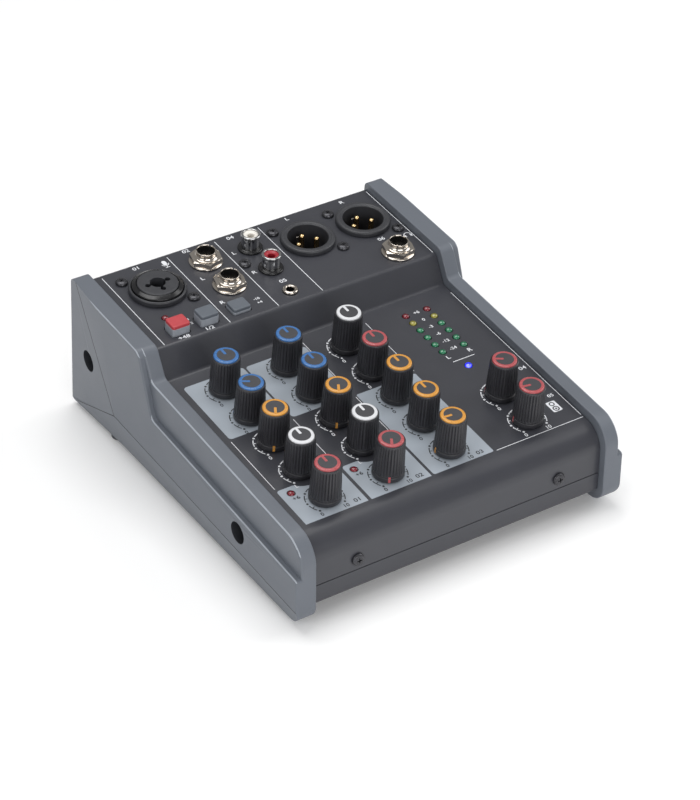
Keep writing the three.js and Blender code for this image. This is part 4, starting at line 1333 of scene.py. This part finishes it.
def build_io_prints():
    ink = Ink(IO, 0.05)
    for x in (-66.8, -34.2, -9.8, 12.9, 71.4):
        ink.line((x, 1.4), (x, 55.4), 0.34)
    for words, x, v in (("01", -50.1, 54.6), ("02", -24.6, 55.2), ("04", -2.1, 54.5), ("L", -6.7, 43.7),
                        ("R", -6.3, 27.2), ("L", -28.6, 34.1), ("R", -30.0, 15.2), ("05", 1.5, 15.8),
                        ("+48", -56.7, 2.1), ("1/2", -44.0, 2.3), ("L", 27.8, 54.6), ("R", 56.6, 53.7),
                        ("06", 56.9, 21.2)):
        ink.text(words, (x, v), LABEL, 0, WIDE)
    x, v = BUTTON_SPOTS["level"]
    ink.text("-10", (x + 10.2, v + 1.7), 2.1, 0, 1.1)
    ink.text("+4", (x + 10.2, v - 1.1), 2.1, 0, 1.1)
    x, v = BUTTON_SPOTS["impedance"]
    ink.text("1", (x - 6.5, v + 4.0), 2.1, 0, 1.1)
    ink.text("2", (x - 6.5, v + 1.0), 2.1, 0, 1.1)
    x, v = -37.3, 51.0
    ink.area(rounded_rect(2.0, 3.4, 0.95, 6, x, v + 1.2))
    ink.arc((x, v + 0.8), 1.7, 100, 260, 0.35)
    ink.line((x, v - 0.9), (x, v - 2.0), 0.35)
    ink.line((x - 1.1, v - 2.1), (x + 1.1, v - 2.1), 0.35)
    x, v = 69.0, 18.2
    ink.arc((x, v), 1.6, -90, 90, 0.4)
    ink.area(rounded_rect(0.9, 1.7, 0.3, 3, x - 1.5, v - 0.7))
    ink.area(rounded_rect(0.9, 1.7, 0.3, 3, x + 1.5, v - 0.7))
    ink.finish("print_io", "ink_white")


# ---------------------------------------------------------------- feet, boards, power inlet

def build_small_parts():
    for side in ("left", "right"):
        for end in ("rear", "front"):
            node = f"foot_{side}_{end}"
            lo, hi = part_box(node)
            x, y = (lo.x + hi.x) / 2 / MM, (lo.y + hi.y) / 2 / MM
            pad = lathe(eased([(0, 0.25), (1.6, 0.25), (2.0, 0), (3.7, 0), (4.1, 0.4), (4.1, 2.2), (0, 2.2)],
                              0.3), 48)
            mesh = gather((pad, Matrix.Translation((x, y, 0))))
            smooth(mesh, 40)
            put(node + "_pad", mesh, [M["rubber"]], replaces=[node])
    assign("control_board", "board")
    assign("io_board", "board")
    assign("dc_inlet", "socket")


# ---------------------------------------------------------------- room, lights, camera

def pale_floor():
    mat, nodes, links, bsdf = tree_of("pale_floor")
    coords = nodes.new("ShaderNodeTexCoord")
    wide = noise_node(nodes, links, coords, 3.0, 2.0)
    ramp = ramp_node(nodes, links, wide.outputs["Fac"], [(0.3, (0.95, 0.95, 0.95, 1)), (0.7, (0.98, 0.98, 0.98, 1))])
    links.new(ramp.outputs["Color"], bsdf.inputs["Base Color"])
    bsdf.inputs["Roughness"].default_value = 0.9
    bsdf.inputs["Emission Color"].default_value = (1, 1, 1, 1)
    bsdf.inputs["Emission Strength"].default_value = 0.05
    bm = bmesh.new()
    bmesh.ops.create_grid(bm, x_segments=2, y_segments=2, size=4.0)
    floor = bpy.data.objects.new("floor", mesh_of(bm, "floor"))
    floor.data.materials.append(mat)
    bpy.context.scene.collection.objects.link(floor)


def area_light(name, place, target, width, height, power, colour=(1, 1, 1)):
    data = bpy.data.lights.new(name, "AREA")
    data.shape = "RECTANGLE"
    data.size, data.size_y = width, height
    data.energy = power
    data.color = colour
    light = bpy.data.objects.new(name, data)
    bpy.context.scene.collection.objects.link(light)
    light.location = place
    light.rotation_mode = "QUATERNION"
    light.rotation_quaternion = (Vector(target) - Vector(place)).to_track_quat("-Z", "Y")


def build_studio():
    pale_floor()
    world = bpy.data.worlds.new("studio")
    world.use_nodes = True
    world.node_tree.nodes["Background"].inputs["Color"].default_value = (1, 1, 1, 1)
    world.node_tree.nodes["Background"].inputs["Strength"].default_value = 0.30
    bpy.context.scene.world = world
    area_light("overhead", (0.0, 0.25, 1.1), (0, 0, 0.05), 0.9, 0.7, 7.4)
    area_light("left_soft", (-1.1, -0.3, 0.7), (0, 0, 0.03), 0.7, 0.9, 3.6)
    area_light("right_soft", (1.1, -0.2, 0.8), (0, 0, 0.03), 0.7, 0.9, 5.2)
    area_light("front_soft", (-0.25, -1.2, 0.42), (0, 0, 0.03), 1.0, 0.5, 6.6)
    scene = bpy.context.scene
    scene.view_settings.view_transform = "Standard"
    scene.view_settings.look = "None"


def build_camera():
    """Long lens from the front left, looking down at the panels."""
    data = bpy.data.cameras.new("camera")
    data.lens = 124.48
    data.sensor_width = 36.0
    data.clip_start, data.clip_end = 0.05, 20.0
    camera = bpy.data.objects.new("camera", data)
    bpy.context.scene.collection.objects.link(camera)
    forward = Vector((0.45604, 0.68317, -0.57036)).normalized()
    right = forward.cross(Vector((0, 0, 1))).normalized()
    up = right.cross(forward)
    roll = math.radians(0.62)
    x = right * math.cos(roll) + up * math.sin(roll)
    y = up * math.cos(roll) - right * math.sin(roll)
    turn = Matrix((x, y, -forward)).transposed()
    camera.matrix_world = Matrix.Translation((-0.5419, -0.8220, 0.7119)) @ turn.to_4x4()
    bpy.context.scene.camera = camera


build_chassis()
build_cheeks()
for xlr_node, xlr_place in XLR_SPOTS.items():
    build_xlr(xlr_node, xlr_place)
build_combo()
for jack_name, jack_place in JACK_SPOTS.items():
    build_jack(jack_name, jack_place)
build_rcas()
build_mini()
build_screws()
build_lamps()
build_knobs()
build_buttons()
build_prints()
build_small_parts()
build_studio()
build_camera()
